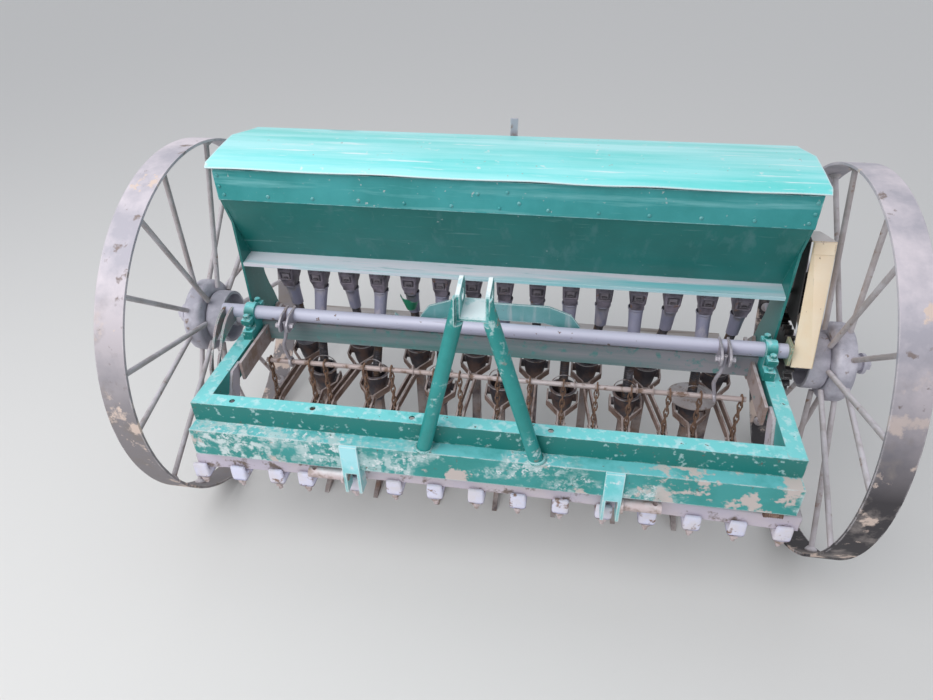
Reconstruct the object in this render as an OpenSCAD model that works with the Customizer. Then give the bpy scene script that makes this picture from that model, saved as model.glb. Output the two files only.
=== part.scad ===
// Fifteen-row seed drill on two steel spoked wheels, carried on a three-point hitch.
// X runs along the axle, -Y is the hitch end, Z is up from the ground. Millimetres.

/* [Wheels] */
// Outside diameter of a wheel rim
wheel_d = 1020; // [960:10:1060]
// Width of the rim band
rim_w = 72; // [60:2:80]
// Thickness of the rim band
rim_t = 7; // [5:1:10]
// Clear gap between the frame's side and the rim band
wheel_gap = 95; // [90:1:120]
// Spokes in one wheel, half to each hub bell
spoke_count = 16; // [12:4:20]
// Diameter of a spoke
spoke_d = 14; // [10:1:18]
// Diameter of the stub axle
axle_d = 38; // [34:1:42]
// Diameter of the outer hub bell
drum_d = 164; // [150:2:180]
// Diameter of the inner hub bell
flange_d = 150; // [130:2:160]

/* [Front frame] */
// Width of the front frame over its side arms
frame_w = 1440; // [1420:5:1450]
// Height of the frame's top face above the axle
frame_rise = 30; // [20:2:40]
// Distance from the axle forward to the frame's front edge
frame_reach = 427; // [420:1:440]
// Width of a side arm, and depth of the upper front rail
arm_w = 40; // [30:1:44]
// Height of the side arms and of the upper front rail
arm_h = 55; // [50:1:60]
// Side of the lower square front tube
box_s = 80; // [70:2:84]
// How far the lower tube stands out in front of the upper rail
box_lead = 38; // [30:1:42]
// Wall of the frame members
frame_wall = 4; // [3:0.5:6]

/* [Hitch] */
// Diameter of the lower hitch pins
pin_d = 28; // [22:0.5:30]
// Distance between the shoulders of the two lower pins
pin_span = 683; // [660:1:720]
// Length of a lower pin past its shoulder
pin_len = 88; // [70:1:96]
// Height of the top hole above the lower pins
mast_h = 518; // [480:2:540]
// Hole for the top link pin
top_hole_d = 25.7; // [19:0.1:26]
// Inside width between the two ears
ear_gap = 52; // [48:1:60]
// Thickness of an ear
ear_t = 9; // [8:1:14]
// Outside diameter of the tower pipes
tower_d = 34; // [30:1:40]

/* [Hopper] */
// Space between the side of the frame and the hopper's end plate
hopper_inset = 12; // [8:1:16]
// Height of the hopper's rim above the frame's top face
hopper_h = 468; // [440:2:480]
// Thickness of the end plates
cheek_t = 6; // [4:0.5:8]
// Thickness of the hopper sheets
sheet_t = 3; // [2:0.5:4]
// How far the lid reaches past an end plate
lid_over = 10; // [8:1:14]
// Thickness of the lid sheet
lid_t = 2.5; // [2:0.5:3]

/* [Rows] */
// Number of rows
row_count = 15; // [9:2:15]
// From the end of the coulter bar to its first clamp
clamp_margin = 20; // [18:1:30]
// From the outside of an end plate to the first seed outlet
outlet_margin = 88.5; // [80:0.5:96]
// Diameter of a seed tube
tube_d = 26; // [20:1:28]
// Thickness of a drag bar
drag_t = 5; // [4:0.5:6]
// Height of a drag bar
drag_h = 24; // [18:1:28]
// Radius of a seed cup under its rim
cup_r = 35; // [30:1:36]

/* [Lift] */
// Diameter of the lift tube
lift_d = 38; // [34:1:42]
// Diameter of the chain rod
rod_d = 14; // [12:1:18]
// Wire of the lifting chains
chain_wire = 4; // [3:0.5:5]

/* [Hidden] */

// Paint and metal
dark_green = [0.10, 0.40, 0.33];
light_green = [0.35, 0.78, 0.70];
grey_steel = [0.62, 0.60, 0.62];
pale_rust = [0.72, 0.62, 0.58];
rust = [0.38, 0.24, 0.18];
black_iron = [0.14, 0.13, 0.14];
funnel_blue = [0.26, 0.29, 0.35];
cream = [0.93, 0.80, 0.56];

// Clearances
run_gap = 0.3;
shaft_gap = 0.05;

// Driving places, as [y, z] pairs
wheel_r = wheel_d / 2;
hub_yz = [0, wheel_r];
frame_x = frame_w / 2;
half_track = frame_x + wheel_gap + rim_w / 2;
frame_z = wheel_r + frame_rise;
front_y = -frame_reach;
box_front = front_y - box_lead;
box_back = box_front + box_s;
box_top = frame_z - arm_h;
box_low = box_top - box_s;

// Main beam, an angle under the hopper
beam_y = -82;
beam_top = frame_z + 20;
beam_low = beam_top - 60;
beam_depth = 42;
beam_wall = 6;

// Stays inside the arms that carry the stub axles
stay_x = frame_x - 63;
stay_t = 8;

// Hopper section
cheek_x = frame_x - hopper_inset;
cheek_in = cheek_x - cheek_t;
cheek_front = -61;
rim_z = frame_z + hopper_h;
strip_y = -92;
fold_z = rim_z - 76;
ledge_z = rim_z - 270;
slope_foot = -5;
floor_back = 84;
floor_t = 6;
floor_low = ledge_z - floor_t;
back_y = 205;
function back_z(y) = ledge_z + (y - floor_back) * (fold_z - 2 - ledge_z) / (back_y - floor_back);
lever_yz = [back_y + 10, ledge_z - 36];
hinge_yz = [back_y + 8, rim_z - 8];
hinge_x = cheek_x - 238;
knuckle_w = 40;

// Hitch
pin_yz = [box_front + 10, box_low - 33];
top_yz = [pin_yz[0] + 51, pin_yz[1] + mast_h];
shoulder_t = 6.5;
bracket_in = pin_span / 2 - 50;
bracket_out = pin_span / 2 - shoulder_t;
tower_y = pin_yz[0] + 8;
ear_mid = -12;
ear_low = top_yz[1] - 41;
ear_front = top_yz[0] - 42;
pipe_wall = 3.5;

// Coulter bar and its pivots
bar_y = front_y + 2;
bar_depth = 45;
bar_h = 58;
bar_top = box_low - 47;
bar_x = frame_x + 35;
bar_low = bar_top - bar_h;
bar_back = bar_y + bar_depth;
pivot_yz = [bar_back + 22, bar_low - 12];
pivot_d = 10;
lug_t = 12;

// Rows; three coulters lean aside and one clamp has slid, as found
mid_row = (row_count - 1) / 2;
row_pitch = 2 * (bar_x - clamp_margin) / (row_count - 1);
outlet_pitch = 2 * (cheek_x - outlet_margin) / (row_count - 1);
row_mid = -12;
outlet_mid = 7;
function slid(i) = i == 3 ? -25 : 0;
function lean(i) = i == 3 ? -19 : i == 10 ? -24 : i == 12 ? -32 : 0;
function row_x(i) = row_mid + (i - mid_row) * row_pitch + slid(i);
function outlet_x(i) = outlet_mid + (i - mid_row) * outlet_pitch;
function is_short(i) = i % 2 == 1;
function within(x, most) = max(-most, min(most, x));

// Coulters: pivot, chain pin, neck block, cup boss
bar_rise = 0.21;
cup_rim_r = cup_r + 3;
cup_wall = 3;
cup_over = 36;
cup_under = 62;
neck_r = 17;
neck_gap = lug_t + 1;
hang_y = pivot_yz[0] + 212;
boss_d = 22;
function cup_x(i) = within(outlet_x(i) + lean(i), stay_x - cup_rim_r - 7);
function cup_y(i) = is_short(i) ? -52 : 62;
function neck_y(i) = cup_y(i) - 62;
function bar_z(y) = pivot_yz[1] + (y - pivot_yz[0]) * bar_rise;
function boss_z(i) = bar_z(cup_y(i));
function hang_x(i) = let (share = (hang_y - pivot_yz[0] - 30) / (neck_y(i) - pivot_yz[0] - 30))
    is_short(i) ? cup_x(i) : within(row_x(i) + share * (cup_x(i) - row_x(i)), stay_x - 17);

// Seed path
meter_w = 46;
meter_y = -2;
meter_depth = 60;
meter_low = floor_low - 68;
feed_yz = [28, floor_low - 30];
feed_d = 16;
funnel_top_r = 25;
funnel_low_r = 16.5;
funnel_low_z = floor_low - 180;
function funnel_foot_y(i) = is_short(i) ? -16 : 40;

// Lift gear
lift_yz = [beam_y - 15, frame_z + 58];
arm_end_yz = lift_yz + [-39, -53];
rod_yz = lift_yz + [-47, -128];
lever_x = frame_x - 148;
lever_gap = 30;
lever_t = 8;

// Gears between the right wheel and the feed shaft; the module follows from the distance they span
drive_teeth = 26;
idler_teeth = 12;
feed_teeth = 16;
mesh_span = 27.72;
gear_x = frame_x + 21;
gear_w = 22;
gear_angle = 25;
gear_backlash = 0.9;

// Hub places along X
drum_in = half_track + 24;
drum_out = half_track + 74;
flange_in = half_track - 19;
flange_out = half_track + 17;
cup_in = half_track - 61;
sleeve_in = half_track - 86;
sleeve_out = half_track + 99;
sleeve_d = 66;
bell_wall = 8;

$fn = 48;

// Mirror pair left and right
module both_sides() {
    children();
    mirror([1, 0, 0]) children();
}

// Outline in [y, z] given a thickness along X from x0
module yz_plate(x0, t) {
    translate([x0, 0, 0]) rotate([90, 0, 90]) linear_extrude(t) children();
}

// Round bar along X
module x_bar(x0, x1, yz, d) {
    translate([x0, yz[0], yz[1]]) rotate([0, 90, 0]) cylinder(d = d, h = x1 - x0);
}

// Round bar between two points
module rod_between(a, b, d) {
    v = b - a;
    len = norm(v);
    translate(a) rotate([0, acos(v[2] / len), atan2(v[1], v[0])]) cylinder(d = d, h = len);
}

// Flat bar outline between two [y, z] points, with square ends
module bar_outline(a, b, h) {
    v = b - a;
    translate(a) rotate(atan2(v[1], v[0])) translate([0, -h / 2]) square([norm(v), h]);
}

// Sheet outline that follows a list of [y, z] points, thickness to the inside
module sheet_outline(points, t) {
    inner = [for (i = [len(points) - 1:-1:0]) points[i] + [0, -t]];
    polygon(concat(points, inner));
}

// Front frame
module front_box() {
    color(dark_green) difference() {
        translate([-frame_x, box_front, box_low]) cube([frame_w, box_s, box_s]);
        translate([-frame_x - 1, box_front + frame_wall, box_low + frame_wall])
            cube([frame_w + 2, box_s - 2 * frame_wall, box_s - 2 * frame_wall]);
    }
}

module front_rail() {
    color(light_green) difference() {
        union() {
            translate([-frame_x, front_y, box_top]) cube([frame_w, frame_wall, arm_h]);
            translate([-frame_x + arm_w, front_y, frame_z - frame_wall])
                cube([frame_w - 2 * arm_w, arm_w, frame_wall]);
        }
        for (x = [100 - frame_x, 307 - frame_x, -167, 161])
            translate([x, front_y + arm_w / 2, frame_z - 10]) cylinder(d = 14, h = 20);
    }
}

module side_arms() {
    arm_front = front_y + frame_wall;
    color(light_green) both_sides() difference() {
        translate([frame_x - arm_w, arm_front, box_top]) cube([arm_w, beam_y - arm_front, arm_h]);
        translate([frame_x - arm_w + frame_wall, arm_front - 1, box_top + frame_wall])
            cube([arm_w - 2 * frame_wall, beam_y - arm_front + 2, arm_h - 2 * frame_wall]);
    }
}

module main_beam() {
    color(dark_green) {
        translate([-frame_x, beam_y, beam_low]) cube([frame_w, beam_wall, beam_top - beam_low]);
        translate([-frame_x, beam_y, beam_top - beam_wall]) cube([frame_w, beam_depth, beam_wall]);
    }
}

// Flat stays inside the arms, in front of and behind the beam, that carry the stub axles
module inner_stays() {
    front = front_y + 162;
    step_y = beam_y + beam_wall;
    color(pale_rust) both_sides() difference() {
        union() {
            translate([stay_x, front, hub_yz[1] - 18]) cube([stay_t, beam_y - front, 56]);
            translate([stay_x, step_y, hub_yz[1] - 26]) cube([stay_t, 30 - step_y, 64]);
        }
        x_bar(stay_x - 1, stay_x + stay_t + 1, hub_yz, axle_d);
    }
}

// Top link tower
module tower_legs() {
    ear_out = ear_gap / 2 + ear_t;
    color(dark_green) for (s = [-1, 1]) {
        foot = [s * 140, tower_y, box_top - 30];
        top = [ear_mid + s * 24, tower_y, top_yz[1] + 14];
        bore_top = foot + (top - foot) * (ear_low - 12 - foot[2]) / (top[2] - foot[2]);
        difference() {
            rod_between(foot, top, tower_d);
            rod_between(foot - (bore_top - foot) / 20, bore_top, tower_d - 2 * pipe_wall);
            translate([-180, tower_y - 40, box_top - 80]) cube([360, 80, 80]);
            translate([ear_mid - ear_out, tower_y - 40, ear_low]) cube([2 * ear_out, 80, 200]);
        }
    }
}

module tower_ears() {
    color(dark_green) {
        for (x = [ear_mid - ear_gap / 2 - ear_t, ear_mid + ear_gap / 2]) yz_plate(x, ear_t) difference() {
            translate(top_yz) polygon([[-42, -41], [30, -34], [34, 10], [24, 30], [14, 35], [-40, 22], [-42, 18]]);
            translate(top_yz) circle(d = top_hole_d);
        }
        yz_plate(ear_mid - ear_gap / 2, ear_gap) translate(top_yz) polygon([[-42, -39], [26, -30], [26, -24],
            [-42, -33]]);
    }
}

// Bowed flat on the beam and the small corner plate beside it
module beam_braces() {
    low = beam_top;
    color(dark_green) {
        translate([0, beam_y + 18, low]) rotate([90, 0, 0]) linear_extrude(6) polygon([[-215, 0],
            [-215, 46], [-190, 80], [-130, 102], [130, 102], [190, 80], [215, 46], [215, 0],
            [185, 0], [180, 36], [120, 50], [-120, 50], [-180, 36], [-185, 0]]);
        translate([-290, beam_y + 30, low]) rotate([90, 0, 0]) linear_extrude(6)
            polygon([[0, 0], [44, 0], [0, 42]]);
    }
}

// Lower hitch points
module hitch_brackets() {
    plate_t = 8;
    low = pin_yz[1] - 42;
    color(light_green) both_sides() difference() {
        union() {
            translate([bracket_in, box_front - plate_t, box_low - 8])
                cube([bracket_out - bracket_in, plate_t, box_top - box_low + 8]);
            for (x = [bracket_in, bracket_out - plate_t])
                translate([x, box_front, low]) cube([plate_t, 30, box_low - low]);
            for (x = [bracket_in, bracket_out - plate_t])
                translate([x, box_front - plate_t, low]) cube([plate_t, plate_t, box_low - low]);
        }
        x_bar(bracket_out - plate_t - 1, bracket_out + 1, pin_yz, pin_d);
    }
}

module hitch_pins() {
    color(grey_steel) both_sides() difference() {
        union() {
            x_bar(bracket_out - 8, bracket_out + shoulder_t + pin_len, pin_yz, pin_d);
            x_bar(bracket_out, bracket_out + shoulder_t, pin_yz, pin_d + 16);
        }
        translate([bracket_out + shoulder_t + pin_len - 15, pin_yz[0], pin_yz[1] - 20]) cylinder(d = 12, h = 40);
    }
}

// Coulter bar with its hangers and stays
module coulter_bar() {
    color(grey_steel) difference() {
        translate([-bar_x, bar_y, bar_low]) cube([2 * bar_x, bar_depth, bar_h]);
        translate([-bar_x - 1, bar_y + frame_wall, bar_low + frame_wall])
            cube([2 * bar_x + 2, bar_depth - 2 * frame_wall, bar_h - 2 * frame_wall]);
    }
}

module bar_hangers() {
    color(dark_green) for (x = [20 - frame_x, -240, 240, frame_x - 20]) difference() {
        translate([x - 25, bar_y + 2, bar_top]) cube([50, bar_depth - 6, box_low - bar_top]);
        translate([x - 21, bar_y + 6, bar_top - 1]) cube([42, bar_depth - 14, box_low - bar_top + 2]);
    }
}

module bar_stays() {
    top = frame_z - 4;
    color(grey_steel) both_sides() yz_plate(frame_x - arm_w - 8, 8)
        polygon([[bar_back, bar_low + 6], [bar_back, bar_top], [bar_back + 50, top - 66], [bar_back + 90, top],
            [bar_back + 135, top], [bar_back + 95, top - 76], [bar_back + 40, bar_low + 30], [bar_back + 28, bar_low + 6]]);
}

module coulter_clamps() {
    color(grey_steel) for (i = [0:row_count - 1]) translate([row_x(i), 0, 0]) {
        difference() {
            yz_plate(-22, 44) polygon([[bar_y - 10, bar_low], [bar_y - 10, bar_low - 20], [bar_y + 4, bar_low - 34],
                [bar_back + 4, bar_low - 34], [bar_back + 4, bar_low]]);
            translate([-14, bar_y - 2, bar_low - 26]) cube([28, bar_depth - 6, 27]);
        }
        translate([0, bar_y + 14, bar_low - 64]) cylinder(d = 14, h = 30);
        translate([0, bar_y + 14, bar_low - 50]) cylinder(d = 30, h = 16, $fn = 6);
        translate([-lug_t / 2, bar_back + 4, pivot_yz[1] - 12]) cube([lug_t, 30, 24]);
        x_bar(-lug_t / 2 - drag_t - 5, lug_t / 2 + drag_t + 5, pivot_yz, pivot_d);
    }
}

// Hopper
module hopper_cheeks() {
    beam_back = beam_y + beam_depth;
    foot_z = hub_yz[1] - 31;
    color(dark_green) both_sides() difference() {
        yz_plate(cheek_in, cheek_t) polygon([[strip_y, rim_z], [strip_y, fold_z], [cheek_front, fold_z - 82],
            [cheek_front, beam_top], [beam_back, beam_top], [beam_back, foot_z + 11], [-24, foot_z],
            [70, foot_z], [98, foot_z + 24], [88, foot_z + 52], [78, foot_z + 83], [60, foot_z + 122],
            [48, ledge_z - 98], [46, ledge_z - 70], [54, ledge_z - 42], [floor_back, floor_low],
            [120, ledge_z + 50], [back_y, fold_z - 24], [back_y, rim_z]]);
        x_bar(cheek_in - 1, cheek_x + 1, hub_yz, axle_d);
        x_bar(cheek_in - 1, cheek_x + 1, feed_yz, feed_d + 1);
    }
}

module hopper_front_strip() {
    color([0.13, 0.50, 0.42]) translate([-cheek_x, strip_y - sheet_t, fold_z - 4])
        cube([2 * cheek_x, sheet_t, rim_z - fold_z + 4]);
}

module hopper_front_slope() {
    color(dark_green) yz_plate(-cheek_in, 2 * cheek_in) polygon([[strip_y, fold_z], [strip_y, fold_z - 4],
        [slope_foot, ledge_z], [slope_foot + sheet_t + 1, ledge_z], [strip_y + sheet_t, fold_z + 4],
        [strip_y, fold_z + 4]]);
}

module hopper_back() {
    color(dark_green) yz_plate(-cheek_in, 2 * cheek_in) polygon([[floor_back - 4, ledge_z],
        [floor_back, ledge_z], [back_y, fold_z - 2], [back_y, rim_z], [back_y - sheet_t, rim_z],
        [back_y - sheet_t, fold_z]]);
}

module hopper_floor() {
    color(dark_green) translate([-cheek_in, slope_foot, floor_low])
        cube([2 * cheek_in, floor_back - slope_foot, floor_t]);
}

module hopper_ledge() {
    lip_z = floor_low - 11;
    color(light_green) yz_plate(-cheek_in, 2 * cheek_in) polygon([[slope_foot, floor_low + 5],
        [cheek_front, lip_z + 10], [cheek_front, lip_z], [cheek_front + 3, lip_z], [cheek_front + 3, lip_z + 7],
        [slope_foot, floor_low + 2]]);
}

// Seed path
module seed_meters() {
    collar_z = meter_low + 14;
    slot_z = floor_low - 38;
    color(black_iron) for (i = [0:row_count - 1]) translate([outlet_x(i), 0, 0]) difference() {
        union() {
            translate([0, meter_y + meter_depth, 0]) rotate([90, 0, 0]) linear_extrude(meter_depth)
                polygon([[-meter_w / 2, floor_low], [5 - meter_w / 2, collar_z], [meter_w / 2 - 5, collar_z],
                    [meter_w / 2, floor_low]]);
            translate([0, meter_y + meter_depth / 2, meter_low]) cylinder(r = funnel_top_r + 2, h = collar_z - meter_low);
            translate([-19, meter_y - 6, slot_z - 12]) cube([38, 8, 8]);
        }
        x_bar(-meter_w, meter_w, feed_yz, feed_d + 1);
        translate([-13, meter_y - 1, slot_z]) cube([26, 7, 7]);
    }
}

module seed_funnels() {
    top_y = meter_y + meter_depth / 2;
    tall = meter_low - funnel_low_z;
    color(funnel_blue) for (i = [0:row_count - 1]) translate([outlet_x(i), 0, 0]) {
        lean = atan2(funnel_foot_y(i) - top_y, tall);
        difference() {
            translate([0, top_y, meter_low]) rotate([lean, 0, 0]) translate([0, 0, -tall])
                rotate_extrude() polygon([[funnel_low_r - 2.5, 0], [funnel_low_r, 0], [funnel_top_r - 2, tall - 16],
                    [funnel_top_r, tall - 6], [funnel_top_r, tall + 12], [funnel_top_r - 2.5, tall + 12],
                    [funnel_top_r - 4.5, tall - 16]]);
            translate([-40, top_y - 50, meter_low]) cube([80, 100, 60]);
        }
    }
}

module seed_tubes() {
    color(black_iron) for (i = [0:row_count - 1]) {
        top = [outlet_x(i), funnel_foot_y(i), funnel_low_z + 8];
        foot = [cup_x(i), cup_y(i), boss_z(i) + 14];
        over = (foot - top) / norm(foot - top);
        difference() {
            rod_between(top, foot, tube_d);
            rod_between(top - over, foot + over, tube_d - 4);
        }
    }
}

// Stub axles with their end washers
module axle_stubs() {
    washer_x = sleeve_out + 5;
    color(grey_steel) both_sides() {
        x_bar(stay_x, washer_x, hub_yz, axle_d);
        x_bar(washer_x, washer_x + 8, hub_yz, 56);
        translate([washer_x + 8, hub_yz[0], hub_yz[1]]) rotate([0, 90, 0]) cylinder(d = 34, h = 14, $fn = 6);
    }
    color(grey_steel) {
        x_bar(cheek_x, gear_x + gear_w + 2, idler_yz, 20);
        x_bar(gear_x + gear_w + 2, gear_x + gear_w + 6, idler_yz, 30);
    }
}

module tube_bearings() {
    strap_w = 28;
    strap_x = cheek_in - strap_w - 1;
    strap_t = 8;
    seat_y = lift_yz[0];
    half = lift_d / 2 + strap_t;
    foot_z = beam_top + 6;
    color(light_green) both_sides() difference() {
        union() {
            yz_plate(strap_x, strap_w) {
                polygon([[seat_y - half - 28, frame_z], [beam_y, frame_z], [beam_y, beam_top], [beam_y + 38, beam_top],
                    [beam_y + 38, foot_z], [seat_y + half, foot_z], [seat_y + half, lift_yz[1]],
                    [seat_y - half, lift_yz[1]], [seat_y - half, foot_z], [seat_y - half - 28, foot_z]]);
                translate(lift_yz) circle(r = half);
            }
            for (y = [seat_y - half - 15, beam_y + 26])
                translate([strap_x + strap_w / 2, y, foot_z - 1]) cylinder(d = 17, h = 10, $fn = 6);
        }
        x_bar(strap_x - 1, strap_x + strap_w + 1, lift_yz, lift_d + 2 * shaft_gap);
    }
}

// Cover in front of the gear train
module gear_guard() {
    front_w = 52;
    side_t = 3;
    side_x = gear_x + front_w - side_t;
    back_x = gear_x - 7;
    low = hub_yz + [-119, 55];
    high = [-21, rim_z - 142];
    roof = high + [42, 6];
    cut_z = 93;
    color(cream) {
        yz_plate(gear_x, front_w - side_t)
            polygon([low, high, roof, roof - [0, 3], high + [3, -2.4], low + [2.8, -0.9]]);
        yz_plate(side_x, side_t) difference() {
            polygon([low, high, roof, hub_yz + [90, 90], hub_yz + [-20, 46]]);
            translate(hub_yz) circle(d = 146);
        }
        yz_plate(cheek_x, gear_x - cheek_x) polygon([high, roof, roof - [0, 3], high + [0.9, -3]]);
        yz_plate(back_x, 2) polygon([low + [31, cut_z], high + [0.9, -3], roof - [0, 3], [roof[0], high[1] - 60],
            [feed_yz[0] - 24, feed_yz[1] + 30], [feed_yz[0] - 24, low[1] + cut_z]]);
    }
}

// Step board behind the hopper
board_y = 318;
board_w = 97;
board_z = hub_yz[1] - 235;
module footboard() {
    color([0.80, 0.72, 0.68]) translate([10 - cheek_in, board_y, board_z]) cube([2 * (cheek_in - 10), board_w, 25]);
}

module footboard_brackets() {
    leg_t = 6;
    foot_t = 12;
    color(grey_steel) both_sides() {
        yz_plate(cheek_in - leg_t, leg_t) polygon([hub_yz + [40, -26], hub_yz + [70, 10], hub_yz + [82, 10],
            [board_y + foot_t, board_z], [board_y + board_w, board_z], [board_y + board_w, board_z - foot_t],
            [board_y, board_z - foot_t]]);
        translate([cheek_in - leg_t - 40, board_y, board_z - 6]) cube([40, board_w, 6]);
    }
}

// Hinge pins of the lid, with a knuckle on each side
module lid_hinges() {
    color(dark_green) for (x = [-hinge_x, hinge_x]) {
        x_bar(x - knuckle_w / 2 - 16, x + knuckle_w / 2 + 16, hinge_yz, 8);
        for (s = [-1, 1]) yz_plate(x + s * (knuckle_w / 2 + 8.5) - 7.5, 15) union() {
            translate(hinge_yz) circle(d = 13);
            translate([back_y, hinge_yz[1] - 26]) square([4, 26]);
        }
    }
}

// Rear hand lever and its pivot
module lever_bracket() {
    near = lever_yz[0] + 13;
    color(dark_green) difference() {
        for (x = [-18, 12]) yz_plate(x, 6) polygon([[floor_back + 20, back_z(floor_back + 20)],
            [floor_back + 56, back_z(floor_back + 56)], [near, lever_yz[1] + 14], [near, lever_yz[1] - 12],
            [near - 28, lever_yz[1] - 12]]);
        x_bar(-20, 20, lever_yz, 12);
    }
    color(grey_steel) x_bar(-22, 22, lever_yz, 12);
}

module rear_lever() {
    color(grey_steel) difference() {
        union() {
            yz_plate(-10, 20) bar_outline(lever_yz, [lever_yz[0] + 26, rim_z + 42], 6);
            x_bar(-10, 10, lever_yz, 24);
        }
        x_bar(-11, 11, lever_yz, 12 + 2 * shaft_gap);
    }
}

// Lid
module lid() {
    lid_x = cheek_x + lid_over;
    color(light_green) {
        yz_plate(-lid_x, 2 * lid_x) sheet_outline([[-108, rim_z + 8], [-98, rim_z + 18], [-20, rim_z + 27],
            [58, rim_z + 33], [180, rim_z + 9], [214, rim_z + 3.5]], lid_t);
        for (x = [-hinge_x, hinge_x]) difference() {
            yz_plate(x - knuckle_w / 2, knuckle_w) union() {
                translate(hinge_yz) circle(d = 14);
                translate([hinge_yz[0] - 4, hinge_yz[1]]) square([5, rim_z + 2 - hinge_yz[1]]);
            }
            x_bar(x - knuckle_w, x + knuckle_w, hinge_yz, 8 + 2 * shaft_gap);
        }
        both_sides() yz_plate(lid_x - lid_t, lid_t) polygon([[-98, rim_z + 18 - lid_t],
            [-20, rim_z + 27 - lid_t], [58, rim_z + 33 - lid_t], [180, rim_z + 9 - lid_t],
            [180, rim_z - 2], [-98, rim_z + 6]]);
    }
}

// Lift shaft
module lift_tube() {
    color(grey_steel) difference() {
        x_bar(-frame_x - 51, frame_x + 9, lift_yz, lift_d);
        x_bar(-frame_x - 52, frame_x + 10, lift_yz, lift_d - 8);
    }
}

// End plate on the shaft's right end
module lift_end_arm() {
    color(cream) yz_plate(frame_x + 9, 7) difference() {
        translate(lift_yz + [-26, -30]) square([50, 58]);
        for (z = [-30, 24]) translate(lift_yz + [-26, z]) rotate(z > 0 ? 35 : -35) square([12, 6], center = true);
    }
}

module lift_levers() {
    color(grey_steel) both_sides() {
        for (x = [lever_x - lever_gap / 2 - lever_t, lever_x + lever_gap / 2]) yz_plate(x, lever_t) difference() {
            hull() {
                translate(lift_yz) circle(r = 30, $fn = 32);
                translate(arm_end_yz) circle(r = 15, $fn = 32);
            }
            translate(lift_yz) circle(d = lift_d);
        }
        x_bar(lever_x - lever_gap / 2, lever_x + lever_gap / 2, arm_end_yz, 12);
        yz_plate(lever_x - 5, 10) difference() {
            bar_outline(arm_end_yz, rod_yz, 22);
            translate(arm_end_yz) circle(d = 12);
            translate(rod_yz) circle(d = rod_d);
        }
    }
}

module lift_rod() {
    rod_x = stay_x - 7;
    color(pale_rust) x_bar(-rod_x, rod_x, rod_yz, rod_d);
}

// Pair of curved arms on the shaft's left end, joined by a pin
module lift_sector() {
    arc_r = norm(lift_yz - rod_yz) / 2;
    arc_c = (lift_yz + rod_yz) / 2;
    arc_a = atan2(lift_yz[1] - rod_yz[1], lift_yz[0] - rod_yz[0]);
    color(rust) {
        for (x = [-frame_x - 44, -frame_x - 22]) yz_plate(x, 6) difference() {
            union() {
                translate(lift_yz) circle(r = 27);
                translate(rod_yz) circle(r = 13);
                translate(arc_c) rotate(arc_a) difference() {
                    circle(r = arc_r + 11);
                    circle(r = arc_r - 11);
                    translate([-2 * arc_r, -2 * arc_r]) square([4 * arc_r, 2 * arc_r]);
                }
            }
            translate(lift_yz) circle(d = lift_d);
        }
        x_bar(-frame_x - 38, -frame_x - 22, rod_yz, rod_d);
    }
}

// Chains from the rod to the drag bars: an even number of links below the one round the rod
link_count = 6;
link_gap = 0.3;
link_x = 2;
chain_pin_d = 6;
chain_pin = [hang_y, bar_z(hang_y)];
last_row = row_count - 1;

// One link across the X axis or along it, from its outer top down, with half widths at the ends and in the middle
module link(top, inner, end_w, mid_w, along_x) {
    w = chain_wire;
    h = inner + 2 * w;
    translate([0, 0, -top - h / 2]) rotate([90, 0, along_x ? 0 : 90]) translate([0, 0, -link_x]) linear_extrude(2 * link_x)
        difference() {
            polygon([[-end_w, -h / 2], [end_w, -h / 2], [mid_w, 0], [end_w, h / 2], [-end_w, h / 2], [-mid_w, 0]]);
            polygon([[1.5 - end_w, w - h / 2], [end_w - 1.5, w - h / 2], [mid_w - w, 0], [end_w - 1.5, h / 2 - w],
                [1.5 - end_w, h / 2 - w], [w - mid_w, 0]]);
        }
}

module chain(i) {
    span = chain_pin - rod_yz;
    top_gap = rod_d / 2 + link_gap;
    low = rod_d / 2 + 6;
    inner = (norm(span) + chain_pin_d / 2 + (link_count + 1) * link_gap - low) / link_count;
    translate([hang_x(i), rod_yz[0], rod_yz[1]]) rotate([atan2(span[0], -span[1]), 0, 0]) {
        link(-top_gap - chain_wire, top_gap + low, 8, 13.5, false);
        for (k = [1:link_count]) link(low - chain_wire - link_gap + (k - 1) * (inner - link_gap), inner,
            k == link_count ? 8 : 5, k == link_count ? 13.5 : 8, k % 2 == 1);
    }
}

module chains() {
    color(rust) for (i = [0:last_row]) chain(i);
}

// Coulters: two flats from the pivot, bent in to the row's line, pinned by the chain, bolted at a neck block
// and opened round the cup
function flat_y(y) = (y - pivot_yz[0]) * norm([1, bar_rise]);
module flat(i, s) {
    mid = neck_gap / 2 + drag_t / 2;
    wide = cup_r + 5 + drag_t / 2;
    path = [[row_x(i) + s * mid, -drag_h / 2], [row_x(i) + s * mid, 26], [hang_x(i) + s * mid, flat_y(hang_y - 15)],
        [hang_x(i) + s * mid, flat_y(hang_y + 12)], [cup_x(i) + s * mid, flat_y(neck_y(i))],
        [cup_x(i) + s * wide, flat_y(neck_y(i) + 36)], [cup_x(i) + s * wide, flat_y(cup_y(i) + 15)]];
    outline = concat([for (p = path) p - [drag_t / 2, 0]],
        [for (k = [len(path) - 1:-1:0]) path[k] + [drag_t / 2, 0]]);
    translate([0, pivot_yz[0], pivot_yz[1]]) rotate([atan(bar_rise), 0, 0]) translate([0, 0, -drag_h / 2])
        linear_extrude(drag_h) polygon(outline);
}

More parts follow.
